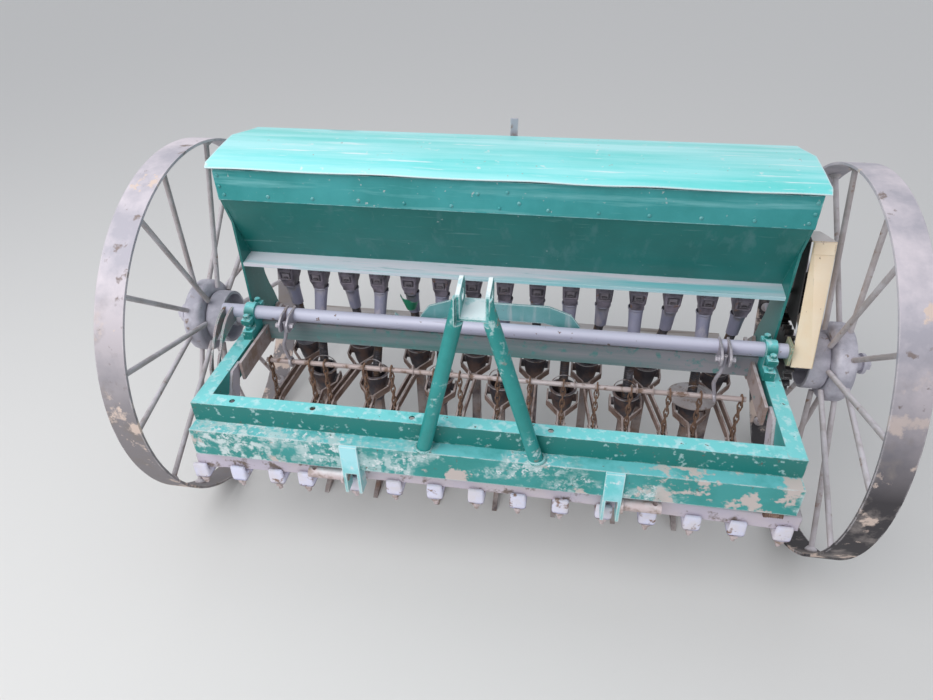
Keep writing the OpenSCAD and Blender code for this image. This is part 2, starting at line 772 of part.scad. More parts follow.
module drag_bars() {
    eye_x = neck_gap / 2;
    color(pale_rust) for (i = [0:last_row]) difference() {
        union() {
            for (s = [-1, 1]) flat(i, s);
            for (x = [-eye_x - drag_t, eye_x]) x_bar(row_x(i) + x, row_x(i) + x + drag_t, pivot_yz, drag_h + 4);
            x_bar(hang_x(i) - eye_x - drag_t - 3, hang_x(i) + eye_x + drag_t + 3, chain_pin, chain_pin_d);
            translate([cup_x(i) - eye_x - 1, neck_y(i) - 16, bar_z(neck_y(i) - 8) - 9]) cube([neck_gap + 2, 15, 18]);
        }
        x_bar(row_x(i) - 20, row_x(i) + 20, pivot_yz, pivot_d + 2 * shaft_gap);
    }
}

// Cast shoe below each cup: a column and a runner with a curved nose
module boots() {
    column_w = 24;
    runner_w = 14;
    color(rust) for (i = [0:last_row]) translate([cup_x(i), cup_y(i), 0]) {
        foot = boss_z(i) - cup_under;
        yz_plate(-column_w / 2, column_w) polygon([[-20, 60], [20, 48], [18, 90], [15, foot], [-15, foot], [-19, 120]]);
        yz_plate(-runner_w / 2, runner_w) polygon([[-19, 150], [-26, 116], [-42, 82], [-68, 50], [-100, 25], [-132, 9],
            [-146, 0], [24, 0], [30, 30], [20, 100], [14, 150]]);
    }
}

// Seed cups with a rolled rim and a boss on each side for the flats
module cups() {
    side = cup_r + 5;
    color([0.30, 0.24, 0.24]) for (i = [0:last_row]) translate([cup_x(i), cup_y(i), boss_z(i)]) difference() {
        union() {
            rotate_extrude() polygon([[0, -cup_under], [neck_r, -cup_under], [27, -26], [cup_r - 2, 6],
                [cup_r, cup_over - 4], [cup_rim_r, cup_over - 4], [cup_rim_r, cup_over], [0, cup_over]]);
            translate([-side, 0, 0]) rotate([0, 90, 0]) cylinder(d = boss_d, h = 2 * side);
        }
        rotate_extrude() polygon([[0, 4 - cup_under], [neck_r - cup_wall, 4 - cup_under], [27 - cup_wall, -25],
            [cup_r - 2 - cup_wall, 7], [cup_r - cup_wall, cup_over + 1], [0, cup_over + 1]]);
    }
}

// Wheels
module rim() {
    color(grey_steel) difference() {
        x_bar(half_track - rim_w / 2, half_track + rim_w / 2, hub_yz, wheel_d);
        x_bar(half_track - rim_w / 2 - 1, half_track + rim_w / 2 + 1, hub_yz, wheel_d - 2 * rim_t);
    }
}

// Ends of one spoke: in the wall of its bell, and in the rim band
function is_outer(k) = k % 2 == 0;
function spoke_a(k) = 360 / spoke_count * (k + 0.3);
function polar(x, r, a) = [x, r * cos(a), wheel_r + r * sin(a)];
function spoke_root(k) = is_outer(k) ? polar((drum_in + drum_out) / 2, drum_d / 2 - bell_wall, spoke_a(k))
    : polar((flange_in + flange_out) / 2, flange_d / 2 - bell_wall, spoke_a(k));
function spoke_tip(k) = polar(half_track + (is_outer(k) ? 12 : -12), wheel_r - rim_t + 6, spoke_a(k));
function spoke_dir(k) = (spoke_tip(k) - spoke_root(k)) / norm(spoke_tip(k) - spoke_root(k));
spoke_boss = bell_wall + 12;

module spokes() {
    color(grey_steel) difference() {
        for (k = [0:spoke_count - 1]) rod_between(spoke_root(k) + spoke_boss * spoke_dir(k), spoke_tip(k), spoke_d);
        difference() {
            x_bar(half_track - rim_w, half_track + rim_w, hub_yz, wheel_d + 60);
            x_bar(half_track - rim_w - 1, half_track + rim_w + 1, hub_yz, wheel_d - 2 * rim_t);
        }
    }
}

// Recess of a bell that opens towards the machine
module bell_recess(x0, x1, d) {
    difference() {
        x_bar(x0 - 1, x1, hub_yz, d);
        x_bar(x0 - 2, x1 + 1, hub_yz, sleeve_d);
    }
}

module hub() {
    color(grey_steel) difference() {
        union() {
            x_bar(cup_in, flange_in, hub_yz, 130);
            x_bar(sleeve_in, sleeve_out, hub_yz, sleeve_d);
            x_bar(flange_in, flange_out, hub_yz, flange_d);
            x_bar(drum_in, drum_out, hub_yz, drum_d);
            for (k = [0:spoke_count - 1])
                rod_between(spoke_root(k), spoke_root(k) + spoke_boss * spoke_dir(k), spoke_d + 10);
        }
        bell_recess(cup_in, flange_in - 4, 116);
        bell_recess(drum_in, drum_out - bell_wall, drum_d - 2 * bell_wall);
        x_bar(sleeve_in - 1, sleeve_out + 1, hub_yz, axle_d + 2 * shaft_gap);
    }
}

module wheel_right_rim() {
    rim();
}
module wheel_right_spokes() {
    spokes();
}
module wheel_right_hub() {
    hub();
}
module wheel_left_rim() {
    mirror([1, 0, 0]) rim();
}
module wheel_left_spokes() {
    mirror([1, 0, 0]) spokes();
}
module wheel_left_hub() {
    mirror([1, 0, 0]) hub();
}

// Gear train
train_v = feed_yz - hub_yz;
train_d = norm(train_v);
gear_m = train_d / mesh_span;
function inv_angle(a) = tan(a) * 180 / PI - a;
function tooth_half(z, r) = 90 / z - gear_backlash / (gear_m * z) * 90 / PI + inv_angle(gear_angle)
    - inv_angle(acos(min(1, gear_m * z / 2 * cos(gear_angle) / r)));
function gear_points(z) = let (r0 = gear_m * z / 2, rs = [r0 - gear_m * 1.1, r0 - gear_m * 0.4, r0, r0 + gear_m * 0.4, r0 + gear_m * 0.8])
    [for (k = [0:z - 1]) each concat(
        [for (r = rs) let (a = 360 / z * k - tooth_half(z, r)) [r * cos(a), r * sin(a)]],
        [for (j = [len(rs) - 1:-1:0]) let (a = 360 / z * k + tooth_half(z, rs[j])) [rs[j] * cos(a), rs[j] * sin(a)]])];

// Centre distances, and the idler's place behind the line of the other two
d_drive_idler = gear_m * (drive_teeth + idler_teeth) / 2;
d_idler_feed = gear_m * (idler_teeth + feed_teeth) / 2;
along = (d_drive_idler * d_drive_idler - d_idler_feed * d_idler_feed + train_d * train_d) / (2 * train_d);
aside = sqrt(d_drive_idler * d_drive_idler - along * along);
idler_yz = hub_yz + along * train_v / train_d + aside * [train_v[1], -train_v[0]] / train_d;

// Turns that put the teeth in mesh at rest
to_idler = atan2(idler_yz[1] - hub_yz[1], idler_yz[0] - hub_yz[0]);
to_feed = atan2(feed_yz[1] - idler_yz[1], feed_yz[0] - idler_yz[0]);
idler_turn = to_idler + 180 + 180 / idler_teeth;
idler_step = 360 / idler_teeth;
slip = (to_feed - idler_turn) - idler_step * round((to_feed - idler_turn) / idler_step);
feed_turn = to_feed + 180 + 180 / feed_teeth + slip * idler_teeth / feed_teeth;

module gear(z, yz, turn, bore) {
    yz_plate(gear_x, gear_w) translate(yz) difference() {
        rotate(turn) polygon(gear_points(z));
        circle(d = bore);
    }
}

module drive_gear() {
    color(black_iron) {
        gear(drive_teeth, hub_yz, to_idler, axle_d + 2 * shaft_gap);
        difference() {
            x_bar(gear_x + gear_w, sleeve_in, hub_yz, sleeve_d);
            x_bar(gear_x, sleeve_in + 1, hub_yz, axle_d + 2 * shaft_gap);
        }
    }
}

module feed_shaft() {
    color(black_iron) {
        x_bar(-cheek_x - 8, gear_x + gear_w, feed_yz, feed_d);
        gear(feed_teeth, feed_yz, feed_turn, feed_d);
    }
}

module idler_gear() {
    color(black_iron) gear(idler_teeth, idler_yz, idler_turn, 20 + 2 * shaft_gap);
}

front_box();
front_rail();
side_arms();
main_beam();
inner_stays();
tower_legs();
tower_ears();
beam_braces();
hitch_brackets();
hitch_pins();
coulter_bar();
bar_hangers();
bar_stays();
coulter_clamps();
hopper_cheeks();
hopper_front_strip();
hopper_front_slope();
hopper_back();
hopper_floor();
hopper_ledge();
seed_meters();
seed_funnels();
seed_tubes();
axle_stubs();
tube_bearings();
gear_guard();
footboard();
footboard_brackets();
lid_hinges();
lever_bracket();
lid();
lift_tube();
lift_levers();
lift_rod();
lift_end_arm();
lift_sector();
chains();
drag_bars();
boots();
cups();
wheel_left_rim();
wheel_left_spokes();
wheel_left_hub();
wheel_right_rim();
wheel_right_spokes();
wheel_right_hub();
drive_gear();
feed_shaft();
idler_gear();
rear_lever();
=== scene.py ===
import math

import bmesh
import bpy
from mathutils import Matrix, Vector


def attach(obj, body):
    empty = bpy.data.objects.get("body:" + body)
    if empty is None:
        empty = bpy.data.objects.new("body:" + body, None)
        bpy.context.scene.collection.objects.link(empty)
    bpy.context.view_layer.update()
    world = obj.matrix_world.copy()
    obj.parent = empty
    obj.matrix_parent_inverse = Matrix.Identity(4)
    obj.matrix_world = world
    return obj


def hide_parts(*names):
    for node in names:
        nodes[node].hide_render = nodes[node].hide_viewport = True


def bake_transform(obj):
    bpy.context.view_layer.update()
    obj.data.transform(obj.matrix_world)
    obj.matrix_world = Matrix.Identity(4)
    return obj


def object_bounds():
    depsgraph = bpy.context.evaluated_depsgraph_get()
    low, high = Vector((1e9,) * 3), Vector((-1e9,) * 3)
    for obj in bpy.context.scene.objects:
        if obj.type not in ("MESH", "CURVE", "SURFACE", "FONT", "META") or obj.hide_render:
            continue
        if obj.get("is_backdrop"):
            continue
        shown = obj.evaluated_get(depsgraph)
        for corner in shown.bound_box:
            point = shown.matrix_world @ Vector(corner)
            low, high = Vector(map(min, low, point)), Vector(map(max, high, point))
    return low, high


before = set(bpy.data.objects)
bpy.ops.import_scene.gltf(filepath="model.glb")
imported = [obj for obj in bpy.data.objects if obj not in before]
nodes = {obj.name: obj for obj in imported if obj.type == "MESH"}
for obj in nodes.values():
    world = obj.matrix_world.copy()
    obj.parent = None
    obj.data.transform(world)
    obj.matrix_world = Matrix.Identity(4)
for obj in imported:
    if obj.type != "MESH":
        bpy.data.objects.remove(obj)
cad_box = [list(corner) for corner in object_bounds()]
bpy.ops.object.select_all(action="DESELECT")

# Camera
# It stands in front of the hitch at eye height and looks down on the drill, slightly turned and rolled.
# The place and the angles were solved from points on the frame, the hopper and the wheels.
eye = Vector((0.167, -1.582, 1.613))
pitch, yaw, roll = math.radians(35.88), math.radians(-9.63), math.radians(-1.18)
ahead = Vector((math.sin(yaw) * math.cos(pitch), math.cos(yaw) * math.cos(pitch), -math.sin(pitch)))
right = Vector((math.cos(yaw), -math.sin(yaw), 0))
up = right.cross(ahead)
right_rolled = right * math.cos(roll) + up * math.sin(roll)
up_rolled = up * math.cos(roll) - right * math.sin(roll)
bpy.ops.object.camera_add(location=eye)
camera = bpy.context.object
camera.name = "camera"
camera.rotation_mode = "QUATERNION"
camera.rotation_quaternion = Matrix((right_rolled, up_rolled, -ahead)).transposed().to_quaternion()
sensor, focal_pixels, photo_width = 36, 680.46, 933
camera.data.sensor_width = sensor
camera.data.lens = sensor * focal_pixels / photo_width
camera.data.clip_start, camera.data.clip_end = 0.05, 60
bpy.context.scene.camera = camera

# Studio
# A wide pale floor under a pale surround, lit by an even grey-white sky and one wide soft lamp from the front left.
# The camera and the glossy rays see the surround brighter than it lights the drill.
scene = bpy.context.scene
scene.view_settings.view_transform = "Standard"
world = bpy.data.worlds.new("pale_sky")
scene.world = world
world.use_nodes = True
sky = world.node_tree.nodes
link = world.node_tree.links.new
sky["Background"].inputs["Color"].default_value = (0.86, 0.89, 0.95, 1)
sky["Background"].inputs["Strength"].default_value = 0.72
seen = sky.new("ShaderNodeBackground")
seen.inputs["Color"].default_value = (0.90, 0.91, 0.92, 1)
rays = sky.new("ShaderNodeLightPath")
choose = sky.new("ShaderNodeMixShader")
either = sky.new("ShaderNodeMath")
either.operation = "MAXIMUM"
link(rays.outputs["Is Camera Ray"], either.inputs[0])
link(rays.outputs["Is Glossy Ray"], either.inputs[1])
link(either.outputs[0], choose.inputs["Fac"])
link(sky["Background"].outputs[0], choose.inputs[1])
link(seen.outputs[0], choose.inputs[2])
link(choose.outputs[0], sky["World Output"].inputs["Surface"])

bpy.ops.object.light_add(type="AREA", location=(-1.6, -2.2, 3.4))
lamp = bpy.context.object
lamp.name = "soft_lamp"
lamp.data.shape = "DISK"
lamp.data.size = 3.2
lamp.data.energy = 95
lamp.rotation_euler = (Vector((0, 0, 0.5)) - lamp.location).to_track_quat("-Z", "Y").to_euler()

bpy.ops.mesh.primitive_plane_add(size=40, location=(0, 0, 0))
floor = bpy.context.object
floor.name = "floor"
pale = bpy.data.materials.new("pale_floor")
pale.use_nodes = True
pale.node_tree.nodes["Principled BSDF"].inputs["Base Color"].default_value = (0.72, 0.71, 0.69, 1)
pale.node_tree.nodes["Principled BSDF"].inputs["Roughness"].default_value = 0.9
floor.data.materials.append(pale)
floor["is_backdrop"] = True

# Front frame
# Square tube in front, a flat-topped rail behind it and two side arms, welded and brush-painted by hand.
# The tops carry a painted highlight and the fronts a painted shade; the front is also scraped and splashed with dried
# mud.

# Where a layer lies: the coordinate and its axis, and the two values between which the layer fades in
zones = {
    "top": ("Normal", 2, 0.25, 0.9), "front": ("Normal", 1, -0.4, -0.9),
    "low": ("Object", 2, 0.42, 0.12), "lower": ("Object", 2, 0.88, 0.52), "inner": ("Object", 0, 0.7372, 0.7366),
    "left": ("Object", 0, -0.38, -0.56), "right": ("Object", 0, 0.30, 0.44),
}


def finish(name, ground, rough, metal=0.0, layers=(), grain=(160, 0.12)):
    """A worn surface: layers (where, colour, roughness, size, low, high, depth in mm) lie over a ground colour."""
    made = bpy.data.materials.new(name)
    made.use_nodes = True
    tree = made.node_tree
    shader = tree.nodes["Principled BSDF"]
    shader.inputs["Metallic"].default_value = metal
    place = tree.nodes.new("ShaderNodeTexCoord")

    def add(kind, **settings):
        node = tree.nodes.new(kind)
        for key, value in settings.items():
            setattr(node, key, value)
        return node

    def ramp(source, low, high):
        node = add("ShaderNodeMapRange")
        tree.links.new(source, node.inputs["Value"])
        node.inputs["From Min"].default_value, node.inputs["From Max"].default_value = low, high
        return node.outputs[0]

    def reckon(kind, one, other):
        node = add("ShaderNodeMath", operation=kind)
        tree.links.new(one, node.inputs[0])
        if isinstance(other, float):
            node.inputs[1].default_value = other
        else:
            tree.links.new(other, node.inputs[1])
        return node.outputs[0]

    def times(one, other):
        return reckon("MULTIPLY", one, other)

    def noise(size, stretch=None):
        node = add("ShaderNodeTexNoise")
        node.inputs["Scale"].default_value = size
        node.inputs["Detail"].default_value = 6
        node.inputs["Roughness"].default_value = 0.62
        source = place.outputs["Object"]
        if stretch:
            turn = add("ShaderNodeMapping")
            turn.inputs["Scale"].default_value = stretch
            turn.inputs["Location"].default_value = (size * 0.37, size * 0.11, 0)
            tree.links.new(source, turn.inputs["Vector"])
            source = turn.outputs[0]
        tree.links.new(source, node.inputs["Vector"])
        return node.outputs[0]

    soft = add("ShaderNodeBevel", samples=4)
    soft.inputs["Radius"].default_value = 0.0015
    colour, gloss, height = None, None, times(noise(grain[0]), float(grain[1]))
    for where, tint, tint_rough, size, low, high, depth in layers:
        stretch = {"runs": (1, 1, 0.12), "long": (0.07, 1, 1)}.get(where)
        mask = ramp(noise(size, stretch), low, high)
        if where in zones:
            source, axis, start, end = zones[where]
            parts = add("ShaderNodeSeparateXYZ")
            tree.links.new(place.outputs[source], parts.inputs[0])
            zone = ramp(parts.outputs[axis], start, end)
            mask = zone if where == "inner" else times(mask, zone)
        elif where == "scuff":
            mask = times(mask, ramp(noise(4.5, (1.0, 1.3, 1.7)), 0.50, 0.60))
        elif where == "edge":
            wide = add("ShaderNodeBevel", samples=4)
            wide.inputs["Radius"].default_value = 0.005
            facing = add("ShaderNodeNewGeometry")
            dot = add("ShaderNodeVectorMath", operation="DOT_PRODUCT")
            tree.links.new(wide.outputs[0], dot.inputs[0])
            tree.links.new(facing.outputs["Normal"], dot.inputs[1])
            mask = times(mask, ramp(dot.outputs["Value"], 0.985, 0.9))
        mix = add("ShaderNodeMix", data_type="RGBA")
        tree.links.new(mask, mix.inputs[0])
        mix.inputs[6].default_value = (*ground, 1)
        mix.inputs[7].default_value = (*tint, 1)
        if colour:
            tree.links.new(colour, mix.inputs[6])
        colour = mix.outputs[2]
        dull = add("ShaderNodeMix", data_type="FLOAT")
        tree.links.new(mask, dull.inputs[0])
        dull.inputs[2].default_value = rough
        dull.inputs[3].default_value = tint_rough
        if gloss:
            tree.links.new(gloss, dull.inputs[2])
        gloss = dull.outputs[0]
        if depth:
            height = reckon("ADD", height, times(mask, float(depth)))
    tree.links.new(colour, shader.inputs["Base Color"])
    tree.links.new(gloss, shader.inputs["Roughness"])
    bump = add("ShaderNodeBump")
    bump.inputs["Distance"].default_value = 0.001
    bump.inputs["Strength"].default_value = 0.7
    tree.links.new(height, bump.inputs["Height"])
    tree.links.new(soft.outputs[0], bump.inputs["Normal"])
    tree.links.new(bump.outputs[0], shader.inputs["Normal"])
    return made


def dress(material, *names):
    """Puts a material on the named CAD nodes."""
    for name in names:
        for place in nodes[name].material_slots:
            place.material = material


mud = (0.44, 0.40, 0.38)
bare_iron = (0.16, 0.12, 0.10)
rail_paint = finish("turquoise_rail_paint", (0.030, 0.33, 0.31), 0.42, layers=(
    ("patch", (0.055, 0.40, 0.39), 0.45, 5, 0.38, 0.62, 0),
    # painted highlight: the upward faces are painted pale turquoise where the sky lights them
    ("top", (0.22, 0.72, 0.73), 0.40, 11, 0.22, 0.44, 0),
    ("top", (0.50, 0.82, 0.84), 0.55, 46, 0.52, 0.64, 0.03),
    # painted shade: the front faces are painted dark green all over
    ("front", (0.014, 0.19, 0.17), 0.42, 1, -1.0, -0.5, 0),
    ("front", (0.32, 0.50, 0.49), 0.6, 60, 0.60, 0.66, 0.04),
    ("front", mud, 0.85, 18, 0.64, 0.70, 0.2),
    ("edge", (0.45, 0.62, 0.62), 0.6, 30, 0.46, 0.56, 0),
    ("patch", bare_iron, 0.8, 52, 0.665, 0.69, -0.15),
))
dress(rail_paint, "front_rail", "side_arms")
dress(finish("bright_bracket_paint", (0.17, 0.66, 0.68), 0.4, layers=(
    ("patch", (0.42, 0.82, 0.88), 0.45, 9, 0.40, 0.58, 0),
    ("patch", (0.70, 0.84, 0.86), 0.6, 40, 0.58, 0.64, 0.04),
    # painted shade: the brackets darken to deep green towards their lower ends
    ("low", (0.014, 0.20, 0.18), 0.45, 1, -2.0, -1.4, 0),
    ("edge", (0.78, 0.88, 0.88), 0.5, 20, 0.28, 0.44, 0),
    ("low", (0.60, 0.56, 0.53), 0.8, 12, 0.30, 0.50, 0.1))), "hitch_brackets")
box_paint = finish("turquoise_box_paint", (0.022, 0.26, 0.24), 0.45, layers=(
    ("patch", (0.045, 0.33, 0.32), 0.45, 6, 0.40, 0.62, 0),
    # painted highlight: the upward faces are painted a lighter turquoise
    ("top", (0.15, 0.54, 0.56), 0.45, 9, 0.24, 0.50, 0),
    ("scuff", (0.44, 0.60, 0.60), 0.7, 42, 0.47, 0.56, 0.04),
    ("scuff", (0.70, 0.76, 0.77), 0.7, 85, 0.54, 0.62, 0.05),
    ("left", (0.60, 0.70, 0.70), 0.7, 38, 0.48, 0.58, 0.04),
    ("right", (0.58, 0.51, 0.48), 0.85, 15, 0.53, 0.57, 0.35),
    ("front", (0.56, 0.49, 0.46), 0.85, 9, 0.62, 0.65, 0.35),
    ("edge", (0.62, 0.74, 0.74), 0.6, 26, 0.38, 0.50, 0),
    ("patch", bare_iron, 0.8, 47, 0.67, 0.69, -0.15),
))
dress(box_paint, "front_box", "bar_hangers")
beam_paint = finish("dusty_beam_paint", (0.045, 0.21, 0.195), 0.55, layers=(
    ("long", (0.34, 0.33, 0.36), 0.85, 7, 0.34, 0.52, 0.12),
    ("top", (0.36, 0.33, 0.33), 0.9, 12, 0.30, 0.52, 0.1),
    ("patch", (0.12, 0.30, 0.29), 0.6, 40, 0.56, 0.66, 0),
    ("edge", (0.34, 0.42, 0.42), 0.6, 26, 0.44, 0.56, 0),
))
dress(beam_paint, "main_beam")

# Top link tower
# Two steam pipes lean together from the square tube and carry two flame-cut ears with a web between them.
# They are painted like the frame, a little glossier, with a painted highlight along the upper side of the pipes; the
# ears are painted near white on their upward faces as a painted highlight, and their edges are pale from rubbing and
# painted highlight.
tower_paint = finish("tower_paint", (0.011, 0.235, 0.218), 0.36, layers=(
    ("patch", (0.022, 0.29, 0.28), 0.40, 7, 0.42, 0.60, 0),
    # painted highlight: the upward side of each pipe is painted a lighter turquoise
    ("top", (0.25, 0.55, 0.56), 0.5, 16, 0.36, 0.56, 0),
    ("scuff", (0.42, 0.60, 0.60), 0.6, 50, 0.54, 0.62, 0.03),
    ("scuff", (0.26, 0.19, 0.16), 0.8, 26, 0.60, 0.66, 0),
    ("edge", (0.60, 0.72, 0.72), 0.5, 24, 0.34, 0.50, 0),
    ("patch", bare_iron, 0.8, 44, 0.67, 0.69, -0.12),
))
dress(tower_paint, "tower_legs")


def edit():
    """Goes into edit mode on the active object."""
    bpy.ops.object.mode_set(mode="EDIT")


def done():
    """Comes back to object mode."""
    bpy.ops.object.mode_set(mode="OBJECT")


def moved(x, y, z):
    """A move, as a matrix."""
    return Matrix.Translation((x, y, z))


def turned(angle, axis):
    """A turn by degrees about an axis, as a matrix."""
    return Matrix.Rotation(math.radians(angle), 4, axis)


def join(pieces):
    """Joins the pieces into the first of them, which stays selected."""
    bpy.ops.object.select_all(action="DESELECT")
    for piece in pieces:
        piece.select_set(True)
    bpy.context.view_layer.objects.active = pieces[0]
    if len(pieces) > 1:
        bpy.ops.object.join()
    return pieces[0]


def settle(piece, name, body, skin):
    """Bakes the place into the mesh, names it, paints it and hangs it on its body."""
    bpy.ops.object.select_all(action="DESELECT")
    piece.select_set(True)
    bpy.context.view_layer.objects.active = piece
    bpy.ops.object.transform_apply(location=True, rotation=True, scale=True)
    piece.name = piece.data.name = name
    piece.data.materials.clear()
    piece.data.materials.append(skin)
    bpy.ops.object.shade_smooth_by_angle(angle=math.radians(35))
    bpy.ops.object.select_all(action="DESELECT")
    if body:
        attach(piece, body)
    return piece


def spread(model, places):
    """Copies a finished model to each place, every copy with its own mesh, and joins them into one piece."""
    bpy.context.view_layer.update()
    twins = []
    for place in places:
        twin = model.copy()
        twin.data = model.data.copy()
        twin.data.transform(place @ model.matrix_world)
        twin.matrix_world = Matrix.Identity(4)
        bpy.context.collection.objects.link(twin)
        twins.append(twin)
    bpy.data.objects.remove(model)
    return join(twins)


def pick(test):
    """Selects the faces of the mesh being edited whose middle and normal pass the test."""
    bpy.ops.mesh.select_mode(type="FACE")
    bpy.ops.mesh.select_all(action="DESELECT")
    shape = bmesh.from_edit_mesh(bpy.context.object.data)
    for face in shape.faces:
        face.select_set(bool(test(face.calc_center_median(), face.normal)))
    bmesh.update_edit_mesh(bpy.context.object.data)


# Weld beads where the two pipes stand on the square tube
bpy.ops.mesh.primitive_torus_add(major_radius=0.0185, minor_radius=0.0042, major_segments=44, minor_segments=7)
bead = bpy.context.object
edit()
bpy.ops.mesh.select_all(action="SELECT")
bpy.ops.transform.vertex_random(offset=0.0009, seed=4)
done()
pipe_foot_x, pipe_foot_y, tube_top = 0.1335, -0.447, 0.4855
beads = spread(bead, [moved(side * pipe_foot_x, pipe_foot_y, tube_top) @ turned(-8 * side, "Y") for side in (-1, 1)])
settle(beads, "tower_welds", "frame", tower_paint)
dress(finish("ear_wear_and_painted_highlight", (0.020, 0.25, 0.24), 0.36, layers=(
    ("patch", (0.20, 0.52, 0.52), 0.5, 22, 0.50, 0.60, 0),
    # painted highlight: the upward faces of the ears and their web are painted near white; the pale edges below are
    # partly rubbed wear and partly painted highlight
    ("top", (0.80, 0.86, 0.88), 0.6, 5, 0.10, 0.30, 0),
    ("top", (0.44, 0.66, 0.68), 0.5, 26, 0.54, 0.64, 0),
    ("edge", (0.72, 0.84, 0.84), 0.5, 24, 0.24, 0.38, 0))), "tower_ears")
dress(finish("weathered_brace_paint", (0.10, 0.31, 0.31), 0.5, layers=(
    ("patch", (0.19, 0.40, 0.42), 0.6, 8, 0.38, 0.62, 0),
    ("runs", (0.34, 0.46, 0.48), 0.7, 36, 0.54, 0.66, 0.05),
    ("edge", (0.68, 0.80, 0.80), 0.5, 20, 0.28, 0.44, 0),
    ("patch", bare_iron, 0.8, 44, 0.67, 0.69, -0.12))), "beam_braces")

# Lower hitch pins
# Turned steel pins welded into the brackets, dull grey with a brown film.
pin_steel = finish("pin_steel", (0.60, 0.50, 0.50), 0.55, 0.1, layers=(
    ("patch", (0.30, 0.22, 0.18), 0.7, 30, 0.48, 0.62, 0.05),
    ("top", (0.66, 0.64, 0.66), 0.5, 20, 0.40, 0.60, 0),
))
dress(pin_steel, "hitch_pins")

# Coulter bar
# Hollow bar under the square tube with fifteen clamps, grey primer gone pale with dried mud.
bar_grey = finish("pale_bar_primer", (0.60, 0.54, 0.63), 0.7, layers=(
    ("patch", (0.66, 0.58, 0.62), 0.75, 8, 0.40, 0.60, 0.1),
    ("patch", (0.22, 0.17, 0.15), 0.8, 27, 0.57, 0.66, -0.1),
    ("top", (0.58, 0.55, 0.57), 0.8, 17, 0.34, 0.56, 0.1),
    ("edge", (0.22, 0.16, 0.14), 0.7, 30, 0.44, 0.56, 0),
))
dress(bar_grey, "coulter_bar", "bar_stays")
clamp_grey = finish("clamp_primer", (0.76, 0.76, 0.93), 0.66, layers=(
    ("patch", (0.74, 0.70, 0.76), 0.7, 18, 0.40, 0.62, 0.12),
    ("patch", (0.26, 0.16, 0.12), 0.85, 40, 0.58, 0.66, -0.1),
    ("edge", (0.30, 0.20, 0.17), 0.75, 34, 0.48, 0.58, 0),
))
dress(clamp_grey, "coulter_clamps")


def bow(x):
    """How far the bent bar stands above a straight one."""
    return 0.024 * max(0.0, math.cos((x + 0.12) * math.pi / 1.75)) ** 1.5


def draw(*steps):
    """Extrudes the selected face step by step; each step is a move and the size of the new face."""
    for move, size in steps:
        bpy.ops.mesh.extrude_region_move(TRANSFORM_OT_translate={"value": move})
        bpy.ops.transform.resize(value=size)


def cut(*planes):
    """Cuts the whole mesh being edited along planes given by a point and a normal."""
    for point, facing in planes:
        bpy.ops.mesh.select_all(action="SELECT")
        bpy.ops.mesh.bisect(plane_co=point, plane_no=facing)


def cuboid(middle, sides):
    """Makes a cuboid from the unit cube at its size and place and opens it for editing."""
    bpy.ops.mesh.primitive_cube_add(size=1, location=middle)
    made = bpy.context.object
    made.scale = sides
    bpy.ops.object.transform_apply(location=True, scale=True)
    edit()
    return made


def soften(width, segments):
    """Bevels all edges of the mesh being edited."""
    bpy.ops.mesh.select_all(action="SELECT")
    bpy.ops.mesh.bevel(offset=width, segments=segments)


def pick_corners(test):
    """Selects the corners of the mesh being edited whose place passes the test."""
    bpy.ops.mesh.select_mode(type="VERT")
    bpy.ops.mesh.select_all(action="DESELECT")
    shape = bmesh.from_edit_mesh(bpy.context.object.data)
    for corner in shape.verts:
        corner.select_set(bool(test(corner.co)))
    bmesh.update_edit_mesh(bpy.context.object.data)


# The bar is an open rectangular tube, bent up in the middle by years of stony ground
bar_y, bar_z = -0.4025, 0.332
bar = cuboid((0, bar_y, bar_z), (1.51, 0.045, 0.050))
bpy.ops.mesh.select_mode(type="EDGE")
bpy.ops.mesh.select_all(action="DESELECT")
shape = bmesh.from_edit_mesh(bar.data)
for edge in shape.edges:
    edge.select_set(abs(edge.verts[0].co.x - edge.verts[1].co.x) > 1)
bmesh.update_edit_mesh(bar.data)
bpy.ops.mesh.bevel(offset=0.006, segments=3)
pick(lambda at, facing: abs(facing.x) > 0.9)
bpy.ops.mesh.inset(thickness=0.004)
for side in (-1, 1):
    pick(lambda at, facing: facing.x * side > 0.9 and abs(at.y - bar_y) < 0.002 and abs(at.z - bar_z) < 0.002)
    bpy.ops.mesh.extrude_region_move(TRANSFORM_OT_translate={"value": (-side * 0.06, 0, 0)})
bends = [-0.68 + 0.085 * step for step in range(17)]
cut(*[((x, 0, 0), (1, 0, 0)) for x in bends])
for x in bends:
    pick_corners(lambda place: abs(place.x - x) < 0.001)
    bpy.ops.transform.translate(value=(0, 0, bow(x)))
done()
settle(bar, "bent_coulter_bar", "frame", bar_grey)
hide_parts("coulter_bar")

# Cast clamps with rounded corners hook over the bar's front edge; a set bolt and its nut hang under each
rows, middle_row, row_gap = 15, 7, 0.105
shifted_row, shift = 3, 0.025
row_at = [-0.012 + (row - middle_row) * row_gap - (shift if row == shifted_row else 0) for row in range(rows)]
hung_at = [moved(x, 0, bow(x) * 0.7) for x in row_at]
block = cuboid((0, -0.408, 0.294), (0.041, 0.060, 0.020))
cut(((0, -0.4262, 0), (0, 1, 0)))
pick(lambda at, facing: facing.z > 0.9 and at.y < -0.427)
draw(((0, 0, 0.024), (0.94, 1, 1)))
pick(lambda at, facing: facing.z < -0.9)
draw(((0, 0, -0.004), (0.90, 0.94, 1)))
bpy.ops.mesh.select_all(action="SELECT")
bpy.ops.mesh.remove_doubles(threshold=0.00005)
bpy.ops.mesh.bevel(offset=0.0055, segments=3)
done()
clamps = spread(block, hung_at)
settle(clamps, "cast_bar_clamps", "frame", clamp_grey)
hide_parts("coulter_clamps")
nut_y = -0.4245
